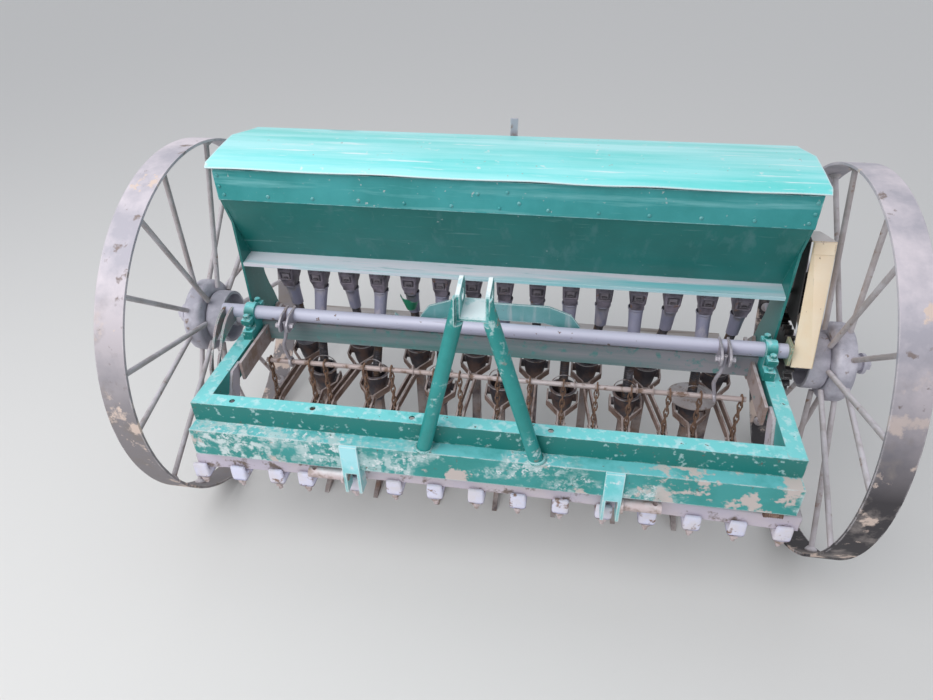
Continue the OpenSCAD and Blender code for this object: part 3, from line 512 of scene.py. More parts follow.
bpy.ops.mesh.primitive_cylinder_add(vertices=6, radius=0.0115, depth=0.013, location=(0, nut_y, 0.2745))
nut = bpy.context.object
edit()
pick(lambda at, facing: facing.z < -0.9)
draw(((0, 0, -0.002), (0.82, 0.82, 1)), ((0, 0, 0), (0.62, 0.62, 1)),
     ((0, 0, -0.012), (1, 1, 1)), ((0, 0, -0.003), (0.6, 0.6, 1)))
done()
nuts = spread(nut, [place @ moved(0, nut_y, 0) @ turned(17 * row, "Z") @ moved(0, -nut_y, 0)
                    for row, place in enumerate(hung_at)])
settle(nuts, "clamp_set_bolts", "frame", pin_steel)
# Behind each clamp a flat lug holds the pivot pin of its drag bars
lug = cuboid((0, -0.366, 0.291), (0.011, 0.046, 0.022))
pick(lambda at, facing: facing.y > 0.9)
draw(((0, 0.004, 0), (1, 1, 0.7)))
soften(0.0012, 1)
done()
pivot_y, pivot_z = -0.358, 0.288
bpy.ops.mesh.primitive_cylinder_add(vertices=14, radius=0.0055, depth=0.034, location=(0, pivot_y, pivot_z),
                                    rotation=(0, math.radians(90), 0))
pin = bpy.context.object
edit()
pick(lambda at, facing: abs(facing.z) > 0.9)
bpy.ops.mesh.inset(thickness=0.001)
bpy.ops.mesh.extrude_region_shrink_fatten(TRANSFORM_OT_shrink_fatten={"value": 0.0008})
done()
lugs = spread(join([lug, pin]), [moved(x, 0, 0) for x in row_at])
settle(lugs, "clamp_lugs", "frame", clamp_grey)
# A rusty threaded eye hangs under the right end of the box
bpy.ops.mesh.primitive_cylinder_add(vertices=18, radius=0.012, depth=0.006, rotation=(0, math.radians(90), 0))
eye_bolt = bpy.context.object
bpy.ops.object.transform_apply(location=True, rotation=True)
edit()
pick(lambda at, facing: facing.x > 0.9)
threads, half_pitch, groove = 7, 0.0025, 0.82
draw(*[((half_pitch, 0, 0), (size, size, size)) for size in (groove, 1 / groove) * threads])
done()
eye_bolt.location = (0.664, -0.437, 0.377)
settle(eye_bolt, "rusty_threaded_bolt", "frame", finish("thread_rust", (0.17, 0.10, 0.075), 0.8, layers=(
    ("patch", (0.34, 0.22, 0.17), 0.85, 40, 0.45, 0.6, 0.1),)))

# Hopper
# Folded sheet steel between two cut end plates, repainted dark green over the old coat.
# Rivets hold a brighter strip along the top, and dust lies on the ledge below.
hopper_paint = finish("dark_hopper_paint", (0.009, 0.152, 0.138), 0.34, layers=(
    ("patch", (0.014, 0.185, 0.170), 0.40, 4, 0.40, 0.62, 0),
    ("runs", (0.060, 0.210, 0.205), 0.5, 22, 0.56, 0.70, 0),
    ("long", (0.10, 0.26, 0.25), 0.6, 90, 0.62, 0.70, 0.03),
    ("patch", (0.36, 0.44, 0.44), 0.7, 60, 0.68, 0.72, 0.05),
    ("edge", (0.12, 0.34, 0.33), 0.5, 24, 0.44, 0.60, 0),
), grain=(70, 0.2))
dress(hopper_paint, "hopper_front_slope", "hopper_back", "hopper_floor", "hopper_cheeks")
strip_paint = finish("hopper_strip_paint", (0.024, 0.26, 0.26), 0.38, layers=(
    ("patch", (0.045, 0.33, 0.34), 0.42, 5, 0.38, 0.62, 0),
    ("long", (0.13, 0.42, 0.43), 0.5, 26, 0.55, 0.66, 0),
    ("edge", (0.35, 0.60, 0.60), 0.5, 28, 0.42, 0.58, 0),
    ("patch", (0.45, 0.50, 0.50), 0.7, 70, 0.67, 0.70, 0.05),
))
dress(strip_paint, "hopper_front_strip")
forward = turned(90, "X")  # lays what stands on Z = 0 so that it points to the front


def rivet(wide, tall):
    """A snap-head rivet, three rings high, standing on Z = 0."""
    bpy.ops.mesh.primitive_cylinder_add(vertices=12, radius=wide / 2, depth=tall * 0.34, location=(0, 0, tall * 0.17))
    head = bpy.context.object
    edit()
    pick(lambda at, facing: facing.z > 0.9)
    draw(*[((0, 0, tall * rise), (size, size, 1)) for rise, size in ((0.30, 0.86), (0.22, 0.66), (0.14, 0.34))])
    done()
    bpy.ops.object.transform_apply(location=True, rotation=True, scale=True)
    return head


# Rivets that hold the strip to the slope and to the end plates, and three odd ones
strip_y = -0.0949
seam = [(-0.69 + 0.115 * count, 0.943) for count in range(13)]
ends = [(x, z) for x in (-0.698, 0.698) for z in (0.965, 0.992)]
odd = [(-0.052, 0.976), (0.018, 0.983), (0.046, 0.957)]
strip_rivets = spread(rivet(0.009, 0.0035), [moved(x, strip_y, z) @ forward for x, z in seam + ends + odd])
settle(strip_rivets, "strip_rivets", "frame", strip_paint)
ledge_dust = finish("dusty_ledge_paint", (0.22, 0.56, 0.60), 0.5, layers=(
    ("long", (0.62, 0.64, 0.70), 0.85, 9, 0.36, 0.52, 0.12),
    ("long", (0.70, 0.66, 0.72), 0.85, 30, 0.52, 0.62, 0.1),
    ("long", (0.22, 0.42, 0.44), 0.6, 60, 0.60, 0.68, 0),
    ("edge", (0.52, 0.72, 0.74), 0.5, 20, 0.36, 0.54, 0),
))
dress(ledge_dust, "hopper_ledge")

# Lid
# One folded steel sheet with a crease along it.
# Its paint is the brightest on the drill, scuffed white where sacks are set down.
lid_paint = finish("bright_lid_paint", (0.13, 0.66, 0.63), 0.36, layers=(
    ("patch", (0.20, 0.74, 0.74), 0.40, 3, 0.36, 0.64, 0),
    ("long", (0.40, 0.82, 0.83), 0.45, 14, 0.44, 0.66, 0),
    ("long", (0.66, 0.84, 0.85), 0.6, 70, 0.60, 0.68, 0.03),
    ("patch", (0.64, 0.80, 0.80), 0.6, 34, 0.64, 0.70, 0.03),
    ("edge", (0.82, 0.82, 0.84), 0.5, 14, 0.14, 0.34, 0),
    ("patch", (0.42, 0.42, 0.40), 0.8, 70, 0.69, 0.71, -0.05),
))
dress(lid_paint, "lid")


def copy_sheet(name):
    """Copies a CAD sheet with its own mesh, merges its corners and opens the copy for editing."""
    bpy.ops.object.select_all(action="DESELECT")
    made = nodes[name].copy()
    made.data = nodes[name].data.copy()
    made.parent = None
    bpy.context.collection.objects.link(made)
    made.matrix_world = nodes[name].matrix_world
    made.select_set(True)
    bpy.context.view_layer.objects.active = made
    bpy.ops.object.transform_apply(location=True, rotation=True, scale=True)
    edit()
    bpy.ops.mesh.select_all(action="SELECT")
    bpy.ops.mesh.remove_doubles(threshold=0.00002)
    return made


# The sheet is copied, cut across and pushed about along its front edge, as sacks and hands have dented it
sheet = copy_sheet("lid")
bpy.ops.mesh.dissolve_limited(angle_limit=math.radians(1))
cut(*[((-0.70 + 0.035 * step, 0, 0), (1, 0, 0)) for step in range(41)])
low_edge = min(corner.co.y for corner in sheet.data.vertices)
for x, back, rise in ((-0.62, 0.0016, 0.0008), (-0.44, 0.0004, -0.0010), (-0.27, 0.0018, 0.0010),
                      (-0.10, 0.0006, -0.0009), (0.06, 0.0017, 0.0010), (0.21, 0.0004, -0.0011),
                      (0.35, 0.0018, 0.0009), (0.53, 0.0006, -0.0008), (0.66, 0.0015, 0.0007)):
    pick_corners(lambda place: abs(place.x - x) < 0.02 and place.y < low_edge + 0.006)
    bpy.ops.transform.translate(value=(0, back, rise), use_proportional_edit=True,
                                proportional_edit_falloff="SMOOTH", proportional_size=0.11)
done()
settle(sheet, "dented_lid", "lid", lid_paint)
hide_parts("lid")
dress(hopper_paint, "lid_hinges", "lever_bracket")

# Seed housings
# Cast housings with a slide slot, black once and now grey with seed dust.
housing_black = finish("dusty_black_casting", (0.075, 0.066, 0.080), 0.55, layers=(
    ("patch", (0.27, 0.23, 0.28), 0.7, 16, 0.38, 0.60, 0),
    ("top", (0.24, 0.21, 0.24), 0.85, 26, 0.36, 0.58, 0.08),
    ("edge", (0.24, 0.21, 0.24), 0.6, 40, 0.40, 0.56, 0),
    ("patch", (0.22, 0.13, 0.09), 0.8, 45, 0.60, 0.68, 0.05),
), grain=(260, 0.2))
dress(housing_black, "seed_meters")

# Cast body that tapers down to a spout, with a framed window for the slide in front
outlet_at = [0.007 + (row - middle_row) * 0.0885 for row in range(rows)]
body = cuboid((0, 0.026, 0.708), (0.045, 0.062, 0.048))
pick(lambda at, facing: facing.z < -0.9)
draw(((0, -0.002, -0.034), (0.93, 0.88, 1)), ((0, -0.002, -0.014), (0.80, 0.80, 1)), ((0, 0, -0.010), (0.96, 0.9, 1)))
pick(lambda at, facing: facing.y < -0.9 and 0.65 < at.z < 0.684)
bpy.ops.mesh.inset(thickness=0.003, depth=0.005)
bpy.ops.mesh.inset(thickness=0.0035)
draw(((0, 0.006, 0), (0.96, 1, 0.96)))
soften(0.0011, 1)
done()
bodies = spread(body, [moved(x, 0, 0) for x in outlet_at])
settle(bodies, "seed_housings", "frame", housing_black)
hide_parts("seed_meters")
# A dusty slide stands in each window, with a turned-out lip; no two are open alike
slide_dust = finish("dusty_slide_plate", (0.17, 0.145, 0.165), 0.7, layers=(
    ("patch", (0.30, 0.26, 0.29), 0.8, 24, 0.42, 0.62, 0),
    ("edge", (0.05, 0.045, 0.05), 0.6, 30, 0.30, 0.46, 0)), grain=(220, 0.2))
slide = cuboid((0, -0.0062, 0.669), (0.0225, 0.0022, 0.020))
lip_low, lip_high, lip_half = 0.663, 0.667, 0.006
cut(((0, 0, lip_low), (0, 0, 1)), ((0, 0, lip_high), (0, 0, 1)),
    ((-lip_half, 0, 0), (1, 0, 0)), ((lip_half, 0, 0), (1, 0, 0)))
pick(lambda at, facing: facing.y < -0.9 and lip_low < at.z < lip_high and abs(at.x) < lip_half)
draw(((0, -0.005, 0.001), (1, 1, 0.8)))
done()
slides = spread(slide, [moved(x, 0, ((row * 5) % 4 - 2) * 0.0022) for row, x in enumerate(outlet_at)])
settle(slides, "housing_slides", "frame", slide_dust)
slide_screws = spread(rivet(0.0075, 0.004), [moved(x + aside, -0.0075, 0.6885) @ forward
                                            for x in outlet_at for aside in (-0.014, 0.014)])
settle(slide_screws, "slide_screws", "frame", housing_black)

# Seed funnels and spiral tubes
# Grey-blue funnels under the housings; from each a tube wound of flat steel strip runs down into its cup.
funnel_grey = finish("funnel_grey_blue", (0.26, 0.26, 0.36), 0.48, layers=(
    ("patch", (0.30, 0.29, 0.38), 0.6, 12, 0.40, 0.62, 0),
    ("runs", (0.42, 0.38, 0.43), 0.75, 30, 0.54, 0.66, 0.05),
    ("edge", (0.32, 0.30, 0.34), 0.6, 30, 0.40, 0.56, 0),
))
dress(funnel_grey, "seed_funnels")

# Each funnel is a short sheet cone with a wired rim under the spout; half of them lean forward
bpy.ops.mesh.primitive_cylinder_add(vertices=28, radius=0.0165, depth=0.006, location=(0, 0, 0.555))
funnel = bpy.context.object
bpy.ops.object.transform_apply(location=True)
edit()
pick(lambda at, facing: facing.z > 0.9)
draw(*[((0, 0, move), (size, size, 1)) for move, size in (
    (0.040, 1.09), (0.022, 1.10), (0.002, 1.10), (0.003, 1), (0.001, 0.93), (-0.022, 0.86), (-0.043, 0.82))])
pick(lambda at, facing: facing.z < -0.9 and at.z < 0.5525)
bpy.ops.mesh.inset(thickness=0.0022)
draw(((0, 0, 0.006), (1, 1, 1)))
done()
spout_y = [-0.016 if row % 2 else 0.040 for row in range(rows)]
mouth_y, mouth_height, spout_z = 0.024, 0.076, 0.552
places = []
for x, y in zip(outlet_at, spout_y):
    slope = (mouth_y - y) / mouth_height
    places.append(Matrix(((1, 0, 0, x), (0, 1, slope, y - slope * spout_z), (0, 0, 1, 0), (0, 0, 0, 1))))
funnels = settle(spread(funnel, places), "sheet_funnels", "frame", funnel_grey)
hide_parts("seed_funnels")
# A scrap of green sheet is rolled round one spout in place of a lost rim
scrap_x, torn_z = outlet_at[4], 0.622
bpy.ops.mesh.primitive_cone_add(vertices=16, radius1=0.013, radius2=0.029, depth=0.045, end_fill_type="NOTHING",
                                location=(scrap_x, 0.006, 0.602))
scrap = bpy.context.object
bpy.ops.object.transform_apply(location=True)
edit()
pick(lambda at, facing: at.y > 0.004)
bpy.ops.mesh.delete(type="FACE")
cut(((scrap_x, 0, torn_z), (0.7, 0, 1)))
pick(lambda at, facing: (at.x - scrap_x) * 0.7 + at.z - torn_z > 0.0005)
bpy.ops.mesh.delete(type="FACE")
bpy.ops.mesh.select_all(action="SELECT")
bpy.ops.mesh.solidify(thickness=0.0012)
done()
settle(scrap, "green_sheet_scrap", "frame", finish("fresh_green_sheet", (0.012, 0.25, 0.13), 0.4, layers=(
    ("edge", (0.42, 0.52, 0.50), 0.5, 30, 0.36, 0.50, 0),)))
tube_steel = finish("spiral_tube_steel", (0.075, 0.07, 0.08), 0.45, 0.5, layers=(
    ("patch", (0.16, 0.10, 0.07), 0.75, 30, 0.50, 0.62, 0.05),
    ("patch", (0.20, 0.19, 0.22), 0.5, 18, 0.56, 0.68, 0),
))
dress(tube_steel, "seed_tubes")


def face_out():
    """Turns all faces of the mesh being edited outward."""
    bpy.ops.mesh.select_all(action="SELECT")
    bpy.ops.mesh.normals_make_consistent(inside=False)


# Each tube is a coil of steel strip, its turns closed up, from inside the funnel's mouth to inside the cup
lean_at = {3: -0.019, 10: -0.024, 12: -0.032}
cup_limit, strip_width = 0.612, 0.0068
cup_at = []
coils = []
for row, x in enumerate(outlet_at):
    cup_x = max(-cup_limit, min(cup_limit, x + lean_at.get(row, 0)))
    cup_y = -0.052 if row % 2 else 0.062
    boss_z = pivot_z + (cup_y - pivot_y) * 0.21
    cup_at.append(Vector((cup_x, cup_y, boss_z)))
    top = Vector((x, spout_y[row], 0.560))
    foot = Vector((cup_x, cup_y, boss_z + 0.012))
    run = (top - foot).length
    turns = round(run / strip_width)
    bpy.ops.mesh.primitive_circle_add(vertices=6, radius=0.0036, location=(0.0112, 0, 0),
                                      rotation=(math.radians(90), 0, 0))
    coil = bpy.context.object
    coil.scale = (0.55, 1, 1)
    bpy.ops.object.transform_apply(location=True, rotation=True, scale=True)
    wind = coil.modifiers.new("wind", "SCREW")
    wind.angle = math.radians(360)
    wind.screw_offset = run / turns
    wind.iterations = turns
    wind.steps = wind.render_steps = 13
    bpy.ops.object.modifier_apply(modifier="wind")
    edit()
    face_out()
    done()
    coil.matrix_world = Matrix.Translation(foot) @ (top - foot).to_track_quat("Z", "Y").to_matrix().to_4x4()
    bpy.ops.object.transform_apply(location=True, rotation=True, scale=True)
    coils.append(coil)
spirals = settle(join(coils), "spiral_seed_tubes", None, tube_steel)
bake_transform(spirals)
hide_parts("seed_tubes")

# Stays, axles, hubs and shaft bearings
# Flat stays hold the stub axles beside the arms, and cast hubs turn on them.
# Clamps bolted on the arms carry the lift tube.
stay_steel = finish("pinkish_stay_steel", (0.46, 0.37, 0.36), 0.7, layers=(
    ("patch", (0.30, 0.20, 0.16), 0.8, 16, 0.46, 0.62, 0.08),
    ("top", (0.58, 0.52, 0.53), 0.8, 20, 0.36, 0.58, 0.1),
    ("patch", (0.16, 0.30, 0.29), 0.5, 26, 0.62, 0.68, 0.05),
))
dress(stay_steel, "inner_stays")
hub_grey = finish("hub_grey", (0.38, 0.37, 0.43), 0.55, 0.1, layers=(
    ("patch", (0.60, 0.58, 0.65), 0.6, 14, 0.42, 0.62, 0.05),
    ("patch", (0.26, 0.20, 0.18), 0.8, 33, 0.62, 0.70, 0.05),
    ("edge", (0.58, 0.56, 0.60), 0.5, 26, 0.42, 0.58, 0),
))
dress(hub_grey, "axle_stubs", "wheel_left_hub", "wheel_right_hub")

# Each hub is a cast drum with round shoulders, a narrow neck and a cup that opens towards the hopper
axle_z = 0.510
bpy.ops.mesh.primitive_cylinder_add(vertices=48, radius=0.106, depth=0.026, location=(0.886, 0, axle_z),
                                    rotation=(0, math.radians(90), 0))
hub = bpy.context.object
bpy.ops.object.transform_apply(location=True, rotation=True)
edit()


def ring(*steps):
    """Turned steps along the axle: each is a move in X and the size of the new ring against the last one."""
    draw(*[((move, 0, 0), (1, size, size)) for move, size in steps])


pick(lambda at, facing: facing.x > 0.9)
ring((0.006, 0.985), (0.005, 0.96), (0.003, 0.92), (0, 0.60), (-0.003, 0.70), (0.008, 0.96), (0.004, 0.90),
     (0, 0.66), (0.030, 0.97), (0.006, 0.92), (0.004, 0.78), (0.001, 0.4))
pick(lambda at, facing: facing.x < -0.9)
ring((-0.006, 0.985), (-0.005, 0.96), (-0.003, 0.92), (0, 0.74), (-0.002, 0.97), (-0.002, 1.0), (0, 1.12),
     (-0.004, 1.03), (-0.040, 1.0), (-0.004, 0.99), (-0.001, 0.90), (0.034, 0.97), (0.006, 0.90), (0, 0.45),
     (-0.055, 1.0), (0, 0.76), (0.006, 1.0))
face_out()
done()
twin = hub.copy()
twin.data = hub.data.copy()
bpy.context.collection.objects.link(twin)
twin.matrix_world = turned(180, "Z") @ hub.matrix_world
hub_right = settle(hub, "cast_hub_right", "wheel_right", hub_grey)
hub_left = settle(twin, "cast_hub_left", "wheel_left", hub_grey)
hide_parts("wheel_right_hub")
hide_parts("wheel_left_hub")
dress(rail_paint, "tube_bearings")

# Gear guard and gears
# Bent sheet guard in faded cream over the black cast gears of the feed drive; its inner plate is black.
guard_cream = finish("faded_cream_paint", (0.95, 0.74, 0.50), 0.5, layers=(
    ("patch", (0.97, 0.82, 0.62), 0.55, 6, 0.40, 0.62, 0),
    ("runs", (0.78, 0.58, 0.36), 0.7, 18, 0.60, 0.74, 0),
    ("top", (0.86, 0.78, 0.76), 0.6, 8, 0.20, 0.40, 0),
    ("edge", (0.52, 0.40, 0.28), 0.7, 30, 0.54, 0.62, 0),
    ("patch", (0.45, 0.30, 0.19), 0.8, 60, 0.69, 0.71, -0.05),
    ("inner", (0.030, 0.027, 0.028), 0.6, 20, 0, 1, 0),
))
dress(guard_cream, "gear_guard")
dress(finish("khaki_end_plate", (0.34, 0.34, 0.22), 0.6, layers=(
    ("patch", (0.20, 0.34, 0.26), 0.6, 22, 0.45, 0.60, 0),
    ("edge", (0.62, 0.50, 0.34), 0.6, 20, 0.24, 0.42, 0),
    ("patch", (0.30, 0.16, 0.09), 0.8, 40, 0.58, 0.66, 0))), "lift_end_arm")
# The guard's sheet is copied and its roof drawn in to a point above the inner plate, as the real one is folded
hood = copy_sheet("gear_guard")
pick_corners(lambda place: place.x > 0.775 and place.y > 0.012 and place.z > 0.862)
bpy.ops.transform.translate(value=(-0.030, 0, 0))
done()
settle(hood, "folded_gear_guard", "frame", guard_cream)
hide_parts("gear_guard")
# A short cap of the same sheet is folded over the guard's top and spot-welded
cap = cuboid((0, 0, 0), (0.0485, 0.0016, 0.030))
soften(0.0005, 1)
done()
cap.matrix_world = moved(0.7665, -0.0278, 0.8505) @ turned(-18, "X")
settle(cap, "guard_cap", "frame", guard_cream)
gear_black = finish("greased_gear_black", (0.022, 0.021, 0.026), 0.42, layers=(
    ("patch", (0.10, 0.085, 0.08), 0.6, 22, 0.46, 0.62, 0.1),
    ("edge", (0.30, 0.28, 0.28), 0.35, 30, 0.44, 0.56, 0),
))
dress(gear_black, "drive_gear", "feed_shaft", "idler_gear")

# Board
# A plank behind the hopper near the ground, its white paint worn to pinkish grey wood.
board_wood = finish("painted_board_wood", (0.46, 0.41, 0.39), 0.75, layers=(
    ("long", (0.30, 0.25, 0.22), 0.85, 34, 0.48, 0.60, -0.25),
    ("long", (0.62, 0.58, 0.58), 0.7, 12, 0.46, 0.60, 0),
    ("patch", (0.24, 0.26, 0.22), 0.85, 9, 0.58, 0.70, 0),
))
dress(board_wood, "footboard")
dress(stay_steel, "footboard_brackets")

# Lift gear
# Grey enamelled tube with pairs of welded ears, a dull pink-brown rod and two curved plates at the left end.
tube_grey = finish("lift_tube_grey", (0.42, 0.41, 0.52), 0.36, layers=(
    # painted highlight: the upward faces of the tube are painted pale lavender all over
    ("top", (0.66, 0.65, 0.78), 0.4, 2, -1.0, -0.5, 0),
    ("long", (0.56, 0.56, 0.68), 0.45, 16, 0.42, 0.60, 0),
    ("long", (0.26, 0.22, 0.24), 0.6, 44, 0.62, 0.70, 0.05),
    ("patch", (0.20, 0.13, 0.11), 0.8, 50, 0.66, 0.69, -0.08),
))
dress(tube_grey, "lift_tube")
lever_steel = finish("lever_steel", (0.40, 0.37, 0.42), 0.5, 0.3, layers=(
    ("patch", (0.28, 0.20, 0.17), 0.8, 24, 0.50, 0.62, 0.06),
    ("edge", (0.74, 0.70, 0.72), 0.4, 24, 0.34, 0.52, 0),
))
dress(lever_steel, "lift_levers", "rear_lever")
rod_pink = finish("pinkish_rod_steel", (0.52, 0.42, 0.40), 0.6, 0.2, layers=(
    ("long", (0.66, 0.58, 0.58), 0.6, 22, 0.46, 0.62, 0),
    ("patch", (0.26, 0.17, 0.13), 0.85, 38, 0.54, 0.64, 0.08),
))
dress(rod_pink, "lift_rod")


def hex_bolt(across, tall):
    """A hexagon head with a turned-down crown on a washer, standing on Z = 0."""
    bpy.ops.mesh.primitive_cylinder_add(vertices=18, radius=across * 0.66, depth=0.0024, location=(0, 0, 0.0012))
    washer = bpy.context.object
    bpy.ops.object.transform_apply(location=True)
    edit()
    pick(lambda at, facing: facing.z > 0.9)
    bpy.ops.mesh.bevel(offset=0.0007, segments=1)
    done()
    bpy.ops.mesh.primitive_cylinder_add(vertices=6, radius=across * 0.577, depth=tall,
                                        location=(0, 0, 0.002 + tall / 2))
    head = bpy.context.object
    bpy.ops.object.transform_apply(location=True)
    edit()
    pick(lambda at, facing: facing.z > 0.9)
    draw(((0, 0, tall * 0.14), (0.84, 0.84, 1)))
    done()
    return join([head, washer])


# Two ears welded side by side on the tube take a bolt; a bent link hangs between them and grips the rod
ear = cuboid((0, -0.112, 0.598), (0.006, 0.052, 0.046))
pick(lambda at, facing: facing.y < -0.9)
draw(((0, -0.012, -0.003), (1, 1, 0.84)), ((0, -0.009, -0.001), (1, 1, 0.78)), ((0, -0.005, 0), (1, 1, 0.62)))
soften(0.001, 1)
done()
ear_x = 0.574
ears = spread(ear, [moved(side * ear_x + aside, 0, 0) for side in (-1, 1) for aside in (-0.0105, 0.0105)])
settle(ears, "lever_ears", "lift", lever_steel)
ear_bolts = spread(hex_bolt(0.014, 0.008), [moved(side * ear_x + out * 0.0135, -0.148, 0.5945) @ turned(90 * out, "Y")
                                           for side in (-1, 1) for out in (-1, 1)])
settle(ear_bolts, "lever_bolts", "lift", lever_steel)
bpy.ops.mesh.primitive_cylinder_add(vertices=12, radius=0.0052, depth=0.010, location=(0, -0.146, 0.600))
bent = bpy.context.object
bpy.ops.object.transform_apply(location=True)
edit()
pick(lambda at, facing: facing.z < -0.9)
draw(((0, -0.001, -0.018), (1, 1, 1)), ((-0.003, -0.003, -0.018), (1, 1, 1)),
     ((-0.008, -0.001, -0.020), (1, 1, 1)), ((-0.003, 0.002, -0.020), (1, 1, 1)),
     ((0.004, 0.001, -0.018), (1, 1, 1)), ((0.005, -0.001, -0.020), (0.9, 0.9, 1)))
done()
rod_y, rod_z = -0.144, 0.470
bpy.ops.mesh.primitive_torus_add(major_radius=0.0115, minor_radius=0.0042, major_segments=24, minor_segments=8,
                                 location=(-0.004, rod_y, rod_z), rotation=(0, math.radians(78), 0))
links = spread(join([bent, bpy.context.object]), [moved(side * ear_x, 0, 0) for side in (-1, 1)])
settle(links, "lever_links", "lift", lever_steel)
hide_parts("lift_levers")
# Hooks of bent wire ride on the rod beside the links, each turned its own way
bpy.ops.mesh.primitive_torus_add(major_radius=0.0092, minor_radius=0.0016, major_segments=20, minor_segments=6)
hook = bpy.context.object
edit()
pick(lambda at, facing: at.x > 0.0075)
bpy.ops.transform.translate(value=(0.009, 0, 0.002))
done()
hooks = spread(hook, [moved(x, rod_y, rod_z) @ turned(turn, "X") @ turned(-90, "Y") @ turned(tip, "Z")
                      for x, turn, tip in ((-0.318, 6, 4), (-0.226, -8, 10), (-0.070, 4, -12), (0.008, -5, 6),
                                           (0.214, 9, -6), (0.376, -4, 12), (0.418, 7, -4))])
settle(hooks, "rod_wire_hooks", "lift", rod_pink)
# Two sickles cut from plate curve forward from the tube's end and taper down to the end of the rod
sickle = cuboid((0, 0, 0), (0.007, 0.008, 0.044))
bpy.ops.mesh.select_all(action="SELECT")
bpy.ops.transform.translate(value=(0, -0.110, 0.594))
pick(lambda at, facing: facing.y < -0.9)
middle = Vector((0, -0.114, 0.594))
heading = 0.0
for turn, step, size in ((5, 0.022, 0.97), (8, 0.022, 0.96), (9, 0.022, 0.96), (9, 0.022, 0.95), (9, 0.022, 0.93),
                         (9, 0.021, 0.90), (9, 0.020, 0.86), (9, 0.019, 0.80), (9, 0.018, 0.74)):
    heading += turn
    along = Vector((0, -math.cos(math.radians(heading)), -math.sin(math.radians(heading)))) * step
    bpy.ops.mesh.extrude_region_move(TRANSFORM_OT_translate={"value": along})
    middle = middle + along
    bpy.ops.transform.rotate(value=math.radians(turn), orient_axis="X", center_override=middle)
    bpy.ops.transform.resize(value=(0.985, size, size))
soften(0.0008, 1)
face_out()
done()
sickles = spread(sickle, [moved(x, 0, 0) for x in (-0.761, -0.739)])
sickle_skin = finish("sickle_plate_paint", (0.34, 0.26, 0.27), 0.6, layers=(
    ("patch", (0.10, 0.30, 0.27), 0.5, 14, 0.48, 0.60, 0),
    ("edge", (0.72, 0.68, 0.69), 0.5, 12, 0.20, 0.36, 0),
    ("patch", (0.26, 0.16, 0.12), 0.8, 38, 0.60, 0.66, 0.05)))
settle(sickles, "lift_sickles", "lift", sickle_skin)
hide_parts("lift_sector")
# The clamp of each tube bearing is drawn down by a bolt in front and one behind
flap = cuboid((0, 0, -0.006), (0.026, 0.026, 0.012))
pick(lambda at, facing: facing.z < -0.9)
draw(((0, 0, -0.010), (0.8, 0.5, 1)))
soften(0.002, 2)
done()
bearing_x = 0.687
flaps = spread(flap, [moved(side * bearing_x, y, z) for side in (-1, 1) for y, z in ((-0.136, 0.600), (-0.058, 0.606))])
settle(flaps, "bearing_ears", "frame", rail_paint)
bearing_bolts = spread(hex_bolt(0.015, 0.009), [moved(side * bearing_x, y, z) for side in (-1, 1)
                                               for y, z in ((-0.137, 0.600), (-0.057, 0.606))])
settle(bearing_bolts, "bearing_bolts", "frame", rail_paint)

# Chains
# Short welded chains from the rod to each coulter, rusted dark brown.
chain_rust = finish("chain_rust", (0.20, 0.12, 0.085), 0.75, 0.2, layers=(
    ("patch", (0.30, 0.18, 0.12), 0.85, 60, 0.42, 0.62, 0.1),
    ("patch", (0.40, 0.33, 0.30), 0.5, 90, 0.60, 0.68, 0),
))
dress(chain_rust, "chains")

# Coulters
# Pairs of flat bars pinned at the clamps, rusty with pale rubbed edges.
# They carry dark cups and cast shoes that the soil has polished.
flat_rust = finish("drag_bar_rust", (0.27, 0.185, 0.155), 0.7, layers=(
    ("patch", (0.17, 0.10, 0.075), 0.85, 20, 0.46, 0.62, 0.1),
    ("top", (0.50, 0.41, 0.39), 0.6, 26, 0.38, 0.56, 0),
    ("edge", (0.56, 0.47, 0.45), 0.5, 32, 0.40, 0.56, 0),
))
dress(flat_rust, "drag_bars")
cup_black = finish("cup_dark_iron", (0.062, 0.055, 0.066), 0.6, layers=(
    ("patch", (0.16, 0.10, 0.085), 0.8, 24, 0.46, 0.62, 0.1),
    ("edge", (0.32, 0.27, 0.27), 0.6, 36, 0.44, 0.58, 0),
))
dress(cup_black, "cups")

# A fat rubber ring seals the first cup
bpy.ops.mesh.primitive_torus_add(major_radius=0.033, minor_radius=0.0068, major_segments=40, minor_segments=12)
seal = bpy.context.object
edit()
pick(lambda at, facing: at.z > 0.002)
bpy.ops.transform.resize(value=(1.05, 1.05, 1.25))
done()
seal.matrix_world = Matrix.Translation(cup_at[0] + Vector((0, 0, 0.040))) @ turned(12, "X")
settle(seal, "rubber_cup_seal", "coulter_gang", finish("grey_rubber", (0.13, 0.13, 0.16), 0.6, layers=(
    ("patch", (0.22, 0.21, 0.24), 0.7, 18, 0.45, 0.6, 0),)))
# A thin wire hoop lies round each cup's rim with a bail that keeps the tube in the cup
wire_pale = finish("pale_cup_wire", (0.40, 0.37, 0.38), 0.5, 0.4, layers=(
    ("patch", (0.24, 0.15, 0.11), 0.8, 50, 0.50, 0.62, 0.05),))
bpy.ops.mesh.primitive_torus_add(major_radius=0.0384, minor_radius=0.0016, major_segments=36, minor_segments=6)
hoop = bpy.context.object
bpy.ops.mesh.primitive_torus_add(major_radius=0.0384, minor_radius=0.0014, major_segments=36, minor_segments=6,
                                 rotation=(math.radians(90), 0, 0))
bail = bpy.context.object
edit()
pick(lambda at, facing: at.y < -0.0002)
bpy.ops.mesh.delete(type="FACE")
bpy.ops.mesh.select_all(action="SELECT")
bpy.ops.mesh.fill_holes(sides=8)
done()
bail.scale = (1, 1.15, 1)
join([hoop, bail])
bpy.ops.object.transform_apply(location=True, rotation=True, scale=True)
